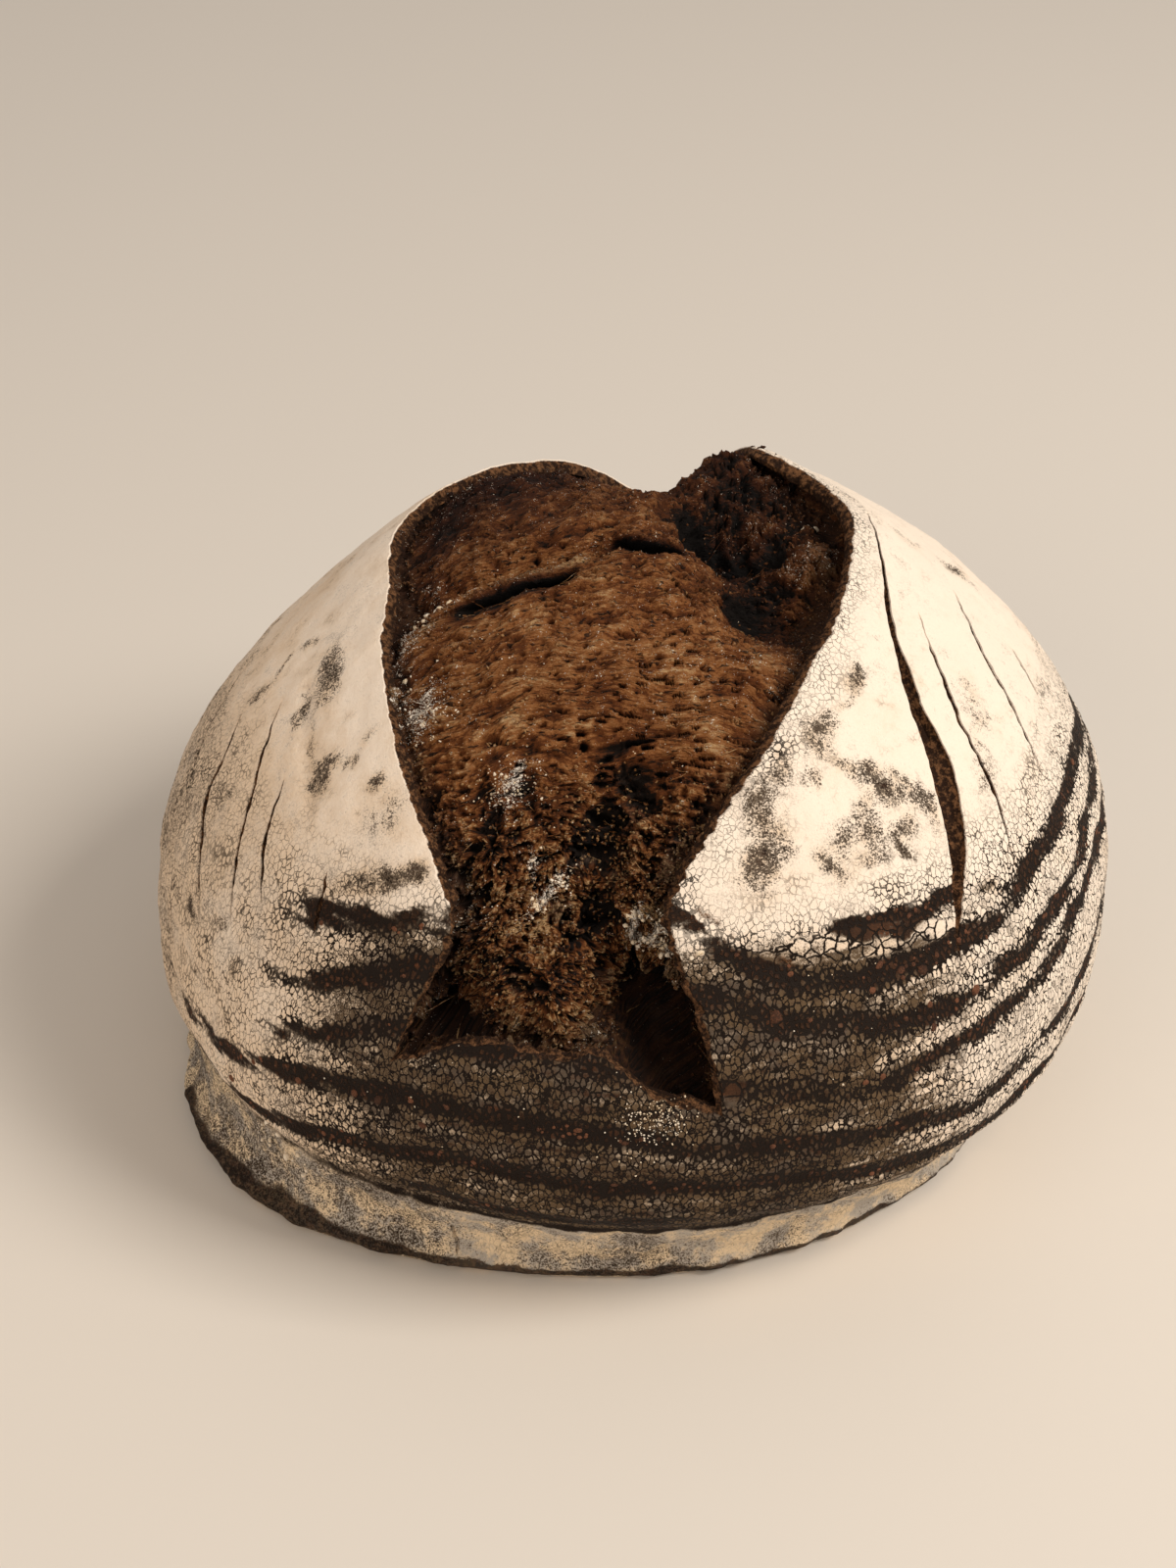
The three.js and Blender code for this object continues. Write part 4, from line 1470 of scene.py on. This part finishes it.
# %% Read the crust's values, its grain and its level streaks
STREAK_PER_METRE = (60, 60, 620)
crust_finish, tree, shader, object_place = new_finish("floured_crust")
fine = grain_of_size(tree, object_place, 0.4)
coarse = grain_of_size(tree, object_place, 1.3)
flour = value_at_vertices(tree, "flour")
crackled = value_at_vertices(tree, "crackle")
foot = value_at_vertices(tree, "foot")
toasted = value_at_vertices(tree, "toasted")
level_place = calculate_vector(tree, "MULTIPLY", object_place, STREAK_PER_METRE)
streaks = add_node(tree, "TexNoise", {"Vector": level_place, "Scale": 1.0, "Detail": 4}).outputs["Fac"]
thinness = inverse_of(tree, flour)

# %% [markdown]
# A ring is bare in its middle and frays out through the plates on both sides: the cracks widen
# towards it until the last bright tops are gone. So the crack width follows the ring.

# %% Rings, plates and cracks
ring_noise = add_up(
    tree, value_at_vertices(tree, "bare_ring"), centred_on_zero(tree, coarse["Grains"], 0.8),
    centred_on_zero(tree, coarse["Patches"], 0.9), centred_on_zero(tree, fine["Grains"], 0.6),
    centred_on_zero(tree, streaks, 0.9),
)
ring = step_between(tree, ring_noise, 0.42, 0.82)
near_ring = step_between(tree, ring_noise, 0.05, 0.6)
is_broad = step_between(tree, value_at_vertices(tree, "broad_plates"), 0.35, 0.5)
gap_width = add_up(
    tree, 0.05, share_of(tree, thinness, 0.08), share_of(tree, near_ring, 0.14),
    centred_on_zero(tree, coarse["Patches"], 0.24),
)
gap_width = calculate(tree, "MAXIMUM", gap_width, 0.05)
small_plates = use_group(tree, crackle, {
    "Vector": object_place, "Plate Size": 1.2, "Tallness": 1.7, "Waviness": 0.8,
    "Crack Width": gap_width,
})
broad_plates = use_group(tree, crackle, {
    "Vector": object_place, "Plate Size": 3.0, "Tallness": 0.85, "Waviness": 1.7,
    "Crack Width": 0.09,
})
plate = blend_values(tree, is_broad, small_plates["Plate"], broad_plates["Plate"])
crack = blend_values(tree, is_broad, small_plates["Crack"], broad_plates["Crack"])
crack_here = add_up(
    tree, share_of(tree, crackled, 0.95), centred_on_zero(tree, coarse["Patches"], 0.9),
    centred_on_zero(tree, streaks, 0.5),
)
crack_shown = share_of(tree, crack, step_between(tree, crack_here, 0.05, 0.7))

# %% Where flour covers the crust
on_apron = share_of(tree, crackled, step_between(tree, thinness, 0.1, 0.5))
covered = add_up(
    tree, flour, centred_on_zero(tree, coarse["Grains"], 0.4),
    share_of(tree, centred_on_zero(tree, plate, 0.24), crackled),
    share_of(tree, centred_on_zero(tree, streaks, 1.3), on_apron),
    centred_on_zero(tree, fine["Grains"], 0.7), centred_on_zero(tree, coarse["Patches"], 0.9),
    share_of(tree, centred_on_zero(tree, fine["Grains"], 1.4), foot),
)
worn = share_of(tree, step_between(tree, thinness, 0.08, 0.3), inverse_of(tree, crackled))
covered = add_up(
    tree, covered, share_of(tree, worn, centred_on_zero(tree, fine["Grains"], 2.2)),
    share_of(tree, worn, centred_on_zero(tree, coarse["Grains"], 1.2)),
)
between_rings = share_of(tree, on_apron, inverse_of(tree, near_ring))
covered = add_up(tree, covered, share_of(tree, between_rings, 0.16))
covered = share_of(tree, covered, inverse_of(tree, ring))

# %% Bare crust, thin flour and cream
bare_tone = add_up(tree, coarse["Patches"], centred_on_zero(tree, fine["Grains"], 0.5))
bare = blend_colours(tree, step_between(tree, bare_tone, 0.36, 0.6), BARE_DARK, BARE_BROWN)
bare = blend_colours(tree, step_between(tree, bare_tone, 0.62, 0.74), bare, BARE_RED)
# The painted warm shade pushes the flour on the left towards TAN.
tone = add_up(
    tree, thinness, share_of(tree, toasted, 0.65), centred_on_zero(tree, coarse["Patches"], 1.3),
    centred_on_zero(tree, coarse["Grains"], 0.5),
)
cream = blend_colours(tree, step_between(tree, tone, 0.0, 0.9), CREAM, TAN)
foot_tone = add_up(tree, coarse["Patches"], centred_on_zero(tree, coarse["Grains"], 0.25))
foot_flour = blend_colours(tree, step_between(tree, foot_tone, 0.42, 0.6), FOOT_GREY, FOOT_TAN)
cream = blend_colours(tree, foot, cream, foot_flour)
apron_patch = step_between(tree, coarse["Patches"], 0.45, 0.6)
apron_film = blend_colours(tree, apron_patch, APRON_TAN, APRON_GREY)
half_floured = blend_colours(tree, on_apron, THIN_FLOUR, apron_film)
thin = blend_colours(tree, step_between(tree, covered, 0.0, 0.4), bare, half_floured)
floured = blend_colours(tree, step_between(tree, covered, 0.42, 0.92), thin, cream)

# %% The brown edge of the foot and the painted shade in the crease over it
brown_edge = add_up(
    tree, value_at_vertices(tree, "foot_brown"), centred_on_zero(tree, coarse["Grains"], 1.1),
    centred_on_zero(tree, fine["Grains"], 0.8),
)
floured = blend_colours(
    tree, share_of(tree, step_between(tree, brown_edge, 0.4, 0.66), 0.92), floured,
    blend_colours(tree, step_between(tree, coarse["Grains"], 0.45, 0.62), BARE_DARK, FOOT_BROWN),
)
# The crease band is blended towards BARE_DARK: painted shade, not the crust's own colour.
creased = add_up(
    tree, value_at_vertices(tree, "in_crease"), centred_on_zero(tree, coarse["Patches"], 1.2),
    centred_on_zero(tree, fine["Grains"], 0.8),
)
floured = blend_colours(tree, step_between(tree, creased, 0.5, 0.85), floured, BARE_DARK)

# %% Cracks, and torn walls over all
cracked = blend_colours(tree, crack_shown, floured, CRACK_BROWN)
torn_depth = add_up(tree, value_at_vertices(tree, "torn"), centred_on_zero(tree, fine["Grains"], 0.5))
torn = step_between(tree, torn_depth, 0.2, 0.45)
# Deeper in a torn wall the tone slides towards TORN_DARK: painted shade in the cut, over the wall's own
# brown grain.
torn_tone_and_depth_shade = add_up(tree, coarse["Grains"], share_of(tree, torn_depth, -0.03))
torn_colour = blend_colours(tree, step_between(tree, torn_tone_and_depth_shade, 0.38, 0.6), TORN_DARK, TORN_BROWN)
crust_colour = blend_colours(tree, torn, cracked, torn_colour)

# %% Roughness and relief of the crust
FLOUR_RISE = 0.12
CRACK_SINK = 0.32
GRAIN_RISE = 0.16
COARSE_RISE = 0.6
ROUGH_LEAST = 0.2
flour_height = share_of(tree, step_between(tree, covered, 0.3, 0.7), FLOUR_RISE)
crack_height = share_of(tree, crack_shown, -CRACK_SINK)
grain_height = centred_on_zero(tree, fine["Grains"], GRAIN_RISE)
roughened = add_up(
    tree, ROUGH_LEAST, torn, share_of(tree, toasted, 0.35), share_of(tree, foot, 0.5),
    share_of(tree, ring, 0.4),
)
rough_height = share_of(tree, centred_on_zero(tree, coarse["Grains"], COARSE_RISE), roughened)
height = add_up(tree, flour_height, crack_height, grain_height, rough_height)
roughness = blend_values(tree, step_between(tree, covered, 0.2, 0.6), 0.7, 0.95)
set_surface(tree, shader, crust_colour, roughness, height, 0.15)
crust.data.materials.clear()
crust.data.materials.append(crust_finish)
print("crust finish has", len(tree.nodes), "nodes")

# %% [markdown]
# ## The finish of the crumb
# Rye crumb is dark and a little moist. Its strings' backs are painted lighter, as painted highlight,
# its pores and hollows nearly black, as painted shade, and loose flour dusts its left side. The
# noise is stretched along the strings, whose places were kept at the vertices.

# %% Colours of the crumb
PORE_SHADE_BROWN = screen_colour(20, 10, 4)
RECESS_SHADE_BROWN = screen_colour(92, 48, 16)
STRING_BROWN = screen_colour(138, 88, 46)
STRING_TAN_AND_HIGHLIGHT = screen_colour(184, 148, 104)
LIP_BROWN = screen_colour(44, 28, 19)
MEMBRANE = screen_colour(104, 84, 72)
DUST = screen_colour(246, 236, 222)
SHADE = screen_colour(112, 88, 66)

# %% Read the crumb's values
crumb_finish, tree, shader, object_place = new_finish("torn_crumb")
strings_place = add_node(tree, "CombineXYZ", {
    0: value_at_vertices(tree, "along_string"), 1: value_at_vertices(tree, "across_strings"),
    2: value_at_vertices(tree, "into_crumb"),
}).outputs[0]


def stretched_place(tree, length, width):
    factors = (1 / length, 1 / width, 1 / width)
    return calculate_vector(tree, "MULTIPLY", strings_place, factors)


def string_noise(tree, length, width, detail):
    inputs = {
        "Vector": stretched_place(tree, length, width), "Scale": 1.0, "Detail": detail,
        "Roughness": 0.6, "Distortion": 0.25,
    }
    return add_node(tree, "TexNoise", inputs).outputs["Fac"]


def bubble_walls(tree, length, width, thickness):
    """1 on the thin walls between small bubbles, 0 inside them."""
    inputs = {"Vector": stretched_place(tree, length, width), "Scale": 1.0}
    gap = add_node(tree, "TexVoronoi", inputs, feature="DISTANCE_TO_EDGE").outputs["Distance"]
    return inverse_of(tree, step_between(tree, gap, 0.02, thickness))


long_strings = string_noise(tree, 5, 1.0, 4)
short_strings = string_noise(tree, 2.4, 0.45, 3)
dashes = string_noise(tree, 3.4, 0.7, 2)
small_walls = bubble_walls(tree, 1.5, 1.0, 0.3)
fine = grain_of_size(tree, object_place, 0.35)
coarse = grain_of_size(tree, object_place, 1.6)
middling = grain_of_size(tree, object_place, 0.8)
web = value_at_vertices(tree, "web")
dark = value_at_vertices(tree, "dark")
near_crust = value_at_vertices(tree, "near_crust")
raised = calculate(tree, "MINIMUM", value_at_vertices(tree, "height"), 1.2)

# %% Mix strings and pores, with painted highlight on ridges and painted shade in pores and hollows
bubbly = share_of(tree, add_up(tree, 0.15, web), centred_on_zero(tree, small_walls, 0.7))
# The tone rises with the relief's height and falls in bubbles and dark patches: painted highlight on
# ridges and painted shade in hollows, over the crumb's own tone noise.
string_tone_light_and_shade = add_up(
    tree, centred_on_zero(tree, long_strings, 1.8), centred_on_zero(tree, short_strings, 1.6),
    share_of(tree, raised, 0.45), centred_on_zero(tree, fine["Grains"], 1.0),
    centred_on_zero(tree, coarse["Patches"], 1.6), bubbly, share_of(tree, dark, -0.6), 0.15,
    share_of(tree, web, centred_on_zero(tree, middling["Patches"], 2.4)),
)
recess = blend_colours(
    tree, step_between(tree, string_tone_light_and_shade, -1.1, -0.25), PORE_SHADE_BROWN, RECESS_SHADE_BROWN
)
body = blend_colours(tree, step_between(tree, string_tone_light_and_shade, -0.3, 0.3), recess, STRING_BROWN)
strung = blend_colours(tree, step_between(tree, string_tone_light_and_shade, 0.25, 1.0), body, STRING_TAN_AND_HIGHLIGHT)
smooth_spot = step_between(tree, coarse["Patches"], 0.55, 0.64)
smooth_spot = share_of(tree, smooth_spot, share_of(tree, web, 0.5))
strung = blend_colours(tree, smooth_spot, strung, MEMBRANE)
# The dashes are pores, painted nearly black as painted shade.
dash = inverse_of(tree, step_between(tree, dashes, 0.31, 0.4))
pored = blend_colours(tree, share_of(tree, dash, 0.85), strung, PORE_SHADE_BROWN)
lipped = blend_colours(tree, share_of(tree, near_crust, 0.75), pored, LIP_BROWN)
# Where dark is high the colour is multiplied by SHADE: partly darker crumb on the lobe, partly painted
# shade in the ear's cave, the fold gaps, the caves and along the right edge.
shaded = blend_colours(tree, share_of(tree, dark, 0.9), lipped, SHADE, "MULTIPLY")

# %% Dust the crumb with flour
dusted = add_up(
    tree, value_at_vertices(tree, "dusting"), centred_on_zero(tree, fine["Grains"], 4.2),
    centred_on_zero(tree, coarse["Grains"], 2.0), centred_on_zero(tree, short_strings, 0.8),
    share_of(tree, raised, 0.2),
)
dusted = share_of(tree, step_between(tree, dusted, 0.8, 0.9), 0.95)
crumb_colour = blend_colours(tree, dusted, shaded, DUST)

# %% Roughness and relief of the crumb
STRING_RISE = 0.5
DASH_SINK = 0.7
WALL_RISE = 0.5
height = add_up(
    tree, centred_on_zero(tree, long_strings, STRING_RISE),
    centred_on_zero(tree, short_strings, STRING_RISE), share_of(tree, dash, -DASH_SINK),
    share_of(tree, share_of(tree, small_walls, WALL_RISE), add_up(tree, 0.2, web)),
    centred_on_zero(tree, fine["Grains"], 0.3), share_of(tree, dusted, 0.15),
)
sheen = add_up(tree, string_tone_light_and_shade, share_of(tree, dusted, -2))
roughness = blend_values(tree, step_between(tree, sheen, -0.1, 0.8), 0.85, 0.42)
set_surface(tree, shader, crumb_colour, roughness, height, 0.22)
crumb.data.materials.clear()
crumb.data.materials.append(crumb_finish)
print("crumb finish has", len(tree.nodes), "nodes")

# %% [markdown]
# ## Scattering small things
# Shreds, threads, blisters and grains of flour each lie about by the hundred. One of a kind is
# modelled from a primitive and repeated with an Array modifier, and each copy is then turned,
# sized and laid on the loaf. A ray from outside towards the heart of the loaf finds its place.

# %% Land on a piece and lay copies there
RAY_START = 200
scatter = np.random.default_rng(SEED + 1)


def surface_of(piece):
    return BVHTree.FromObject(piece, bpy.context.evaluated_depsgraph_get())


def land_on(surface, places):
    """The spots, in millimetres, where the places of the map lie on a surface, and the normals."""
    spots, normals = [], []
    for direction, skin in zip(direction_of(places), point_at(places, 0)):
        start = Vector(HEART + RAY_START * direction) * MM
        spot, normal = surface.ray_cast(start, Vector(-direction))[:2]
        if spot is None:
            spot, normal = surface.find_nearest(Vector(skin) * MM)[:2]
        spots.append(np.array(spot) / MM)
        normals.append(np.array(normal))
    return np.array(spots), np.array(normals)


def repeat_shape(piece, count):
    """Repeats the piece's shape and gives the vertices of one, once for each copy."""
    shape = vertices_of(piece)
    repeat = piece.modifiers.new("repeat", "ARRAY")
    repeat.count = count
    fresh_start()
    bpy.context.view_layer.objects.active = piece
    bpy.ops.object.modifier_apply(modifier=repeat.name)
    return np.broadcast_to(shape, (count, len(shape), 3))


def lay_copies(piece, shapes, spots, forward, sizes, unevenness_share):
    """Turns each copy's long axis forward, sizes it on its three axes and lays it on its spot."""
    forward = forward / np.linalg.norm(forward, axis=1)[:, None]
    sideways = np.cross(forward, scatter.normal(size=forward.shape))
    sideways /= np.linalg.norm(sideways, axis=1)[:, None]
    axes = np.stack([sideways, np.cross(forward, sideways), forward], axis=1)
    copy_number = np.arange(len(spots))[:, None, None]
    lumpy = noise_at((shapes * 1.3 + 7.7 * copy_number).reshape(-1, 3)).reshape(shapes.shape[:2])
    shapes = shapes * (1 + unevenness_share * lumpy)[..., None]
    points = spots[:, None] + np.einsum("nvk,nkx->nvx", shapes * sizes[:, None], axes)
    lay_vertices(piece, points.reshape(-1, 3))
    return points.reshape(-1, 3)


def finish_piece(piece, name, finish):
    piece.name = name
    face_outwards(piece)
    bpy.ops.object.shade_smooth()
    piece.data.materials.clear()
    piece.data.materials.append(finish)
    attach(piece, "root")
    print(name, "has", len(piece.data.polygons), "faces")


# %% [markdown]
# ## Shreds and threads of crumb
# Torn crumb ends in small shreds. They stand along the rim, on the folds and all over the web, and
# they give the burst its frayed outline. Finer threads still span the hollows from wall to wall.
# Both keep the same values at their vertices as the crumb has, so they take its finish.

# %% Scatter over the burst
LOOSE_EDGE_SHARE = 0.6


def finish_as_crumb(piece, name, points, height):
    place = place_of(points)
    strings = string_coordinates(place, np.zeros(len(place)))
    paint_as_crumb(piece, place, strings, height, LOOSE_EDGE_SHARE)
    finish_piece(piece, name, crumb_finish)


def places_in_burst(count, likelihood):
    """Scatters places over the burst, more where the likelihood of a place is greater."""
    chosen = np.empty((0, 2))
    while len(chosen) < count:
        places = sheet_place(scatter.random(4 * count), scatter.random(4 * count))
        kept = scatter.random(len(places)) < likelihood(places)
        chosen = np.vstack([chosen, places[kept]])
    return chosen[:count]


# %% Stand the shreds
SHREDS = 5200
SHRED_LENGTH = (0.25, 0.75)
SHRED_THICKNESS = (0.16, 0.42)
SHRED_LEAN = 1.6
SHRED_HEIGHT = 0.8
FRAYED_LINES = [
    [(-52, 48), (-40, 60), (-22, 66), (-6, 73)], [(2, 76), (12, 75), (22, 76)],
    [(4, -56), (5, -46), (12, -39), (22, -38), (28, -46)],
    [(-44, -44), (-34, -40), (-24, -42), (-12, -46)],
]


def shred_likelihood(place):
    folds = sum(bell(distance_to_line(place, line), 2.5) for line in FRAYED_LINES)
    rim = bell(rim_distance(place) - 1.5, 1.8)
    craggy = sum_of_patches(CRAGS, place)
    likely = 0.03 + 0.9 * rim + 0.8 * folds + 0.35 * raggedness(place) + 0.35 * craggy
    in_cave = sum_of_patches([(*cave, 0, 1) for cave in CAVES], place)
    return np.where(rim_distance(place) > 1.2, likely * np.clip(1 - 1.6 * in_cave, 0, 1), 0)


crumb_surface = surface_of(crumb)
spots, normals = land_on(crumb_surface, places_in_burst(SHREDS, shred_likelihood))
fresh_start()
bpy.ops.mesh.primitive_ico_sphere_add(subdivisions=1, radius=1)
shreds = bpy.context.object
shapes = repeat_shape(shreds, SHREDS)
forward = normals + SHRED_LEAN * scatter.normal(size=normals.shape)
thickness = scatter.uniform(*SHRED_THICKNESS, (SHREDS, 2))
sizes = np.column_stack([thickness, scatter.uniform(*SHRED_LENGTH, SHREDS)])
points = lay_copies(shreds, shapes, spots, forward, sizes, 0.5)
finish_as_crumb(shreds, "shreds", points, SHRED_HEIGHT)

# %% Span the threads
THREADS = 240
THREAD_SIDES = 5
THREAD_STEPS = 9
THREAD_SPAN = (2, 6)
THREAD_THICKNESS = (0.05, 0.14)
THREAD_TILT = 0.45
THREAD_SINK = 0.15
THREAD_BEND = 0.3
THREAD_BEND_SIZE = 2.4
THREAD_HEIGHT = 0.9


def thread_likelihood(place):
    caves = sum_of_bells([(19, -57, 12, 0.5), (-34, -50, 9, 0.5), (38, 84, 14, 0.8)], place)
    fold = bell(distance_to_line(place, CREASES[0][0]), 3)
    return np.clip(0.02 + caves + fold + 0.12 * raggedness(place), 0, 1)


starts = places_in_burst(THREADS, thread_likelihood)
span = scatter.uniform(*THREAD_SPAN, THREADS)
tilt = scatter.normal(0, THREAD_TILT, THREADS)
ends = starts + span[:, None] * np.stack([np.cos(tilt), np.sin(tilt)], axis=-1)
outside = rim_distance(ends) < 2
ends[outside] = 2 * starts[outside] - ends[outside]
first, first_normal = land_on(crumb_surface, starts)
last, last_normal = land_on(crumb_surface, ends)
fresh_start()
bpy.ops.mesh.primitive_uv_sphere_add(segments=THREAD_SIDES, ring_count=THREAD_STEPS, radius=1)
threads = bpy.context.object
shapes = repeat_shape(threads, THREADS)
course = last - first
thickness = scatter.uniform(*THREAD_THICKNESS, (THREADS, 1))
sizes = np.column_stack([thickness, thickness, np.linalg.norm(course, axis=1) / 2 + 0.2])
middle = (first + last) / 2 - THREAD_SINK * (first_normal + last_normal)
points = lay_copies(threads, shapes, middle, course, sizes, 0.0)
bent = THREAD_BEND * shift_noise(points, THREAD_BEND_SIZE, 2, 30, 3)
lay_vertices(threads, points + bent)
finish_as_crumb(threads, "threads", points, THREAD_HEIGHT)

# %% [markdown]
# ## Blisters on the dark rings
# Bare dough blistered where no flour protected it. The blisters are low reddish domes, most of
# them about a millimetre across and a few over three, that sit in rows along the dark rings.

# %% Raise the blisters
BLISTERS = 330
BLISTER_RADIUS = (0.3, 0.85)
BLISTER_SINK = 0.45
BLISTER_FLATNESS = 0.55
BIG_SHARE = 0.8
BIG_BLISTERS = [
    # right and up on the map, size
    (71, -39, 1.7), (66, -39, 1.4), (59, -43, 1.1), (61, -38, 1.1), (38, -48, 1.7),
    (85, -44, 1.6), (61, -61, 1.2), (57, -62, 1.0), (73, -51, 1.1), (-92, -64, 1.3),
    (-68, -62, 1.4), (-53, -64, 1.3), (-47, -65, 1.2), (-37, -70, 1.3), (-27, -79, 1.0),
]
RING_TURNS = (214, 350)
RING_LEVELS = (30, 94)
BLISTER_TRIES = 12 * BLISTERS
BLISTER_CLEAR = 3

fresh_start()
bpy.ops.mesh.primitive_uv_sphere_add(segments=7, ring_count=5, radius=1)
blisters = bpy.context.object
ring_turn = scatter.uniform(*RING_TURNS, BLISTER_TRIES)
ring_level = scatter.uniform(*RING_LEVELS, BLISTER_TRIES)
bareness = ring_strength(np.radians(ring_turn), ring_level)
on_ring = np.flatnonzero(bareness > scatter.uniform(0.6, 1.3, len(bareness)))[:BLISTERS]
ring_spots = skin_point(ring_level[on_ring], np.radians(ring_turn[on_ring]))
blister_places = np.vstack([place_of(ring_spots), [big[:2] for big in BIG_BLISTERS]])
radii = scatter.uniform(*BLISTER_RADIUS, len(on_ring)) * scatter.uniform(0.6, 1, len(on_ring))
radii = np.concatenate([radii, [BIG_SHARE * big[2] for big in BIG_BLISTERS]])
outside = rim_distance(blister_places) > BLISTER_CLEAR
blister_places, radii = blister_places[outside], radii[outside]
crust_surface = surface_of(crust)
spots, normals = land_on(crust_surface, blister_places)
spots -= normals * (BLISTER_SINK * BLISTER_FLATNESS * radii)[:, None]
shapes = repeat_shape(blisters, len(spots))
widths = radii * scatter.uniform(0.9, 1.4, len(radii))
sizes = np.column_stack([widths, radii, BLISTER_FLATNESS * radii])
lay_copies(blisters, shapes, spots, normals, sizes, 0.2)

# %% The finish of the blisters
BLISTER_DARK = screen_colour(58, 34, 20)
BLISTER_RED = screen_colour(118, 72, 46)
blister_finish, tree, shader, object_place = new_finish("blistered_crust")
fine = grain_of_size(tree, object_place, 0.3)
coarse = grain_of_size(tree, object_place, 1.2)
tone = add_up(tree, coarse["Patches"], centred_on_zero(tree, fine["Grains"], 0.6))
blistered = blend_colours(tree, step_between(tree, tone, 0.36, 0.66), BLISTER_DARK, BLISTER_RED)
roughness = blend_values(tree, step_between(tree, tone, 0.4, 0.6), 0.8, 0.6)
height = centred_on_zero(tree, fine["Grains"], 0.25)
set_surface(tree, shader, blistered, roughness, height, 0.3)
finish_piece(blisters, "blisters", blister_finish)

# %% [markdown]
# ## Loose flour
# Clumps of flour fell into the burst from its rim, and a smear of them lies on the front. Each
# clump is a lumpy grain, from a fraction of a millimetre to over two across, and they lie in small
# heaps.

# %% The heaps of flour
HEAPS_IN_BURST = [
    # right and up on the map, spread, count, greatest size
    (-47, 58, 2.0, 30, 1.1), (-52, 52, 1.2, 6, 0.9), (-52, 33, 0.8, 5, 1.0), (-13, 73, 0.6, 3, 0.7),
    (-43, 21, 4.5, 130, 0.34), (-20, -1, 4, 130, 0.32), (11, -38, 1.2, 50, 0.6),
    (16, -37, 1.3, 60, 0.65), (20, -37, 1.2, 40, 0.6), (10, -30, 1.2, 40, 0.55),
    (16, -31, 1.4, 50, 0.6), (-8, -22, 1.1, 36, 0.5), (-13, -27, 1.1, 36, 0.5), (-14, -17, 1, 24, 0.45),
    (-11, -24, 4, 50, 0.28), (-30, -30, 5, 60, 0.24), (0, 30, 34, 160, 0.2), (64, 96, 2, 4, 0.9),
    (-40, -10, 5, 50, 0.26), (62, 110, 2, 4, 1.0),
]
HEAPS_ON_CRUST = [
    (11, -69, 3.4, 190, 0.22), (16, -66, 2.4, 80, 0.24), (23, -35, 1.2, 4, 0.7),
    (-88, -84, 4, 8, 0.9), (-80, -88, 3, 6, 0.8), (-30, -66, 16, 40, 0.2), (60, -40, 16, 40, 0.2),
]
CLUMP_LEAST = 0.35


# %% Drop the clumps
def heap_up(surface, heaps):
    """Spots and normals on a surface, and sizes, for all the clumps of the heaps."""
    places, sizes = [], []
    for right, up, spread, count, greatest in heaps:
        places.append((right, up) + spread * scatter.normal(size=(count, 2)))
        sizes.append(greatest * scatter.uniform(CLUMP_LEAST, 1, count) ** 1.5)
    return *land_on(surface, np.vstack(places)), np.concatenate(sizes)


fresh_start()
bpy.ops.mesh.primitive_uv_sphere_add(segments=7, ring_count=5, radius=1)
clumps = bpy.context.object
heaped = [heap_up(crumb_surface, HEAPS_IN_BURST), heap_up(crust_surface, HEAPS_ON_CRUST)]
spots, normals, radii = (np.concatenate(part) for part in zip(*heaped))
shapes = repeat_shape(clumps, len(spots))
sizes = radii[:, None] * scatter.uniform(0.7, 1.3, (len(radii), 3))
lay_copies(clumps, shapes, spots + 0.3 * normals * radii[:, None], normals, sizes, 0.55)

# %% The finish of the loose flour
FLOUR_WHITE = screen_colour(250, 238, 220)
FLOUR_CREAM = screen_colour(232, 208, 172)
flour_finish, tree, shader, object_place = new_finish("loose_flour")
fine = grain_of_size(tree, object_place, 0.25)
coarse = grain_of_size(tree, object_place, 1.0)
tone = add_up(tree, coarse["Patches"], centred_on_zero(tree, fine["Grains"], 0.5))
clumped = blend_colours(tree, step_between(tree, tone, 0.35, 0.65), FLOUR_CREAM, FLOUR_WHITE)
roughness = blend_values(tree, fine["Grains"], 0.9, 1.0)
set_surface(tree, shader, clumped, roughness, centred_on_zero(tree, fine["Grains"], 0.2))
finish_piece(clumps, "flour_clumps", flour_finish)

# %% [markdown]
# ## Sizes
# The sizes of the imported model and of the finished loaf are written side by side, because the
# finish may not make the loaf larger.

# %% Write the sizes and finish
boxes = {"cad": cad_box, "visual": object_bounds()}
sizes = {name: [[float(v) for v in corner] for corner in box] for name, box in boxes.items()}
print(sizes)
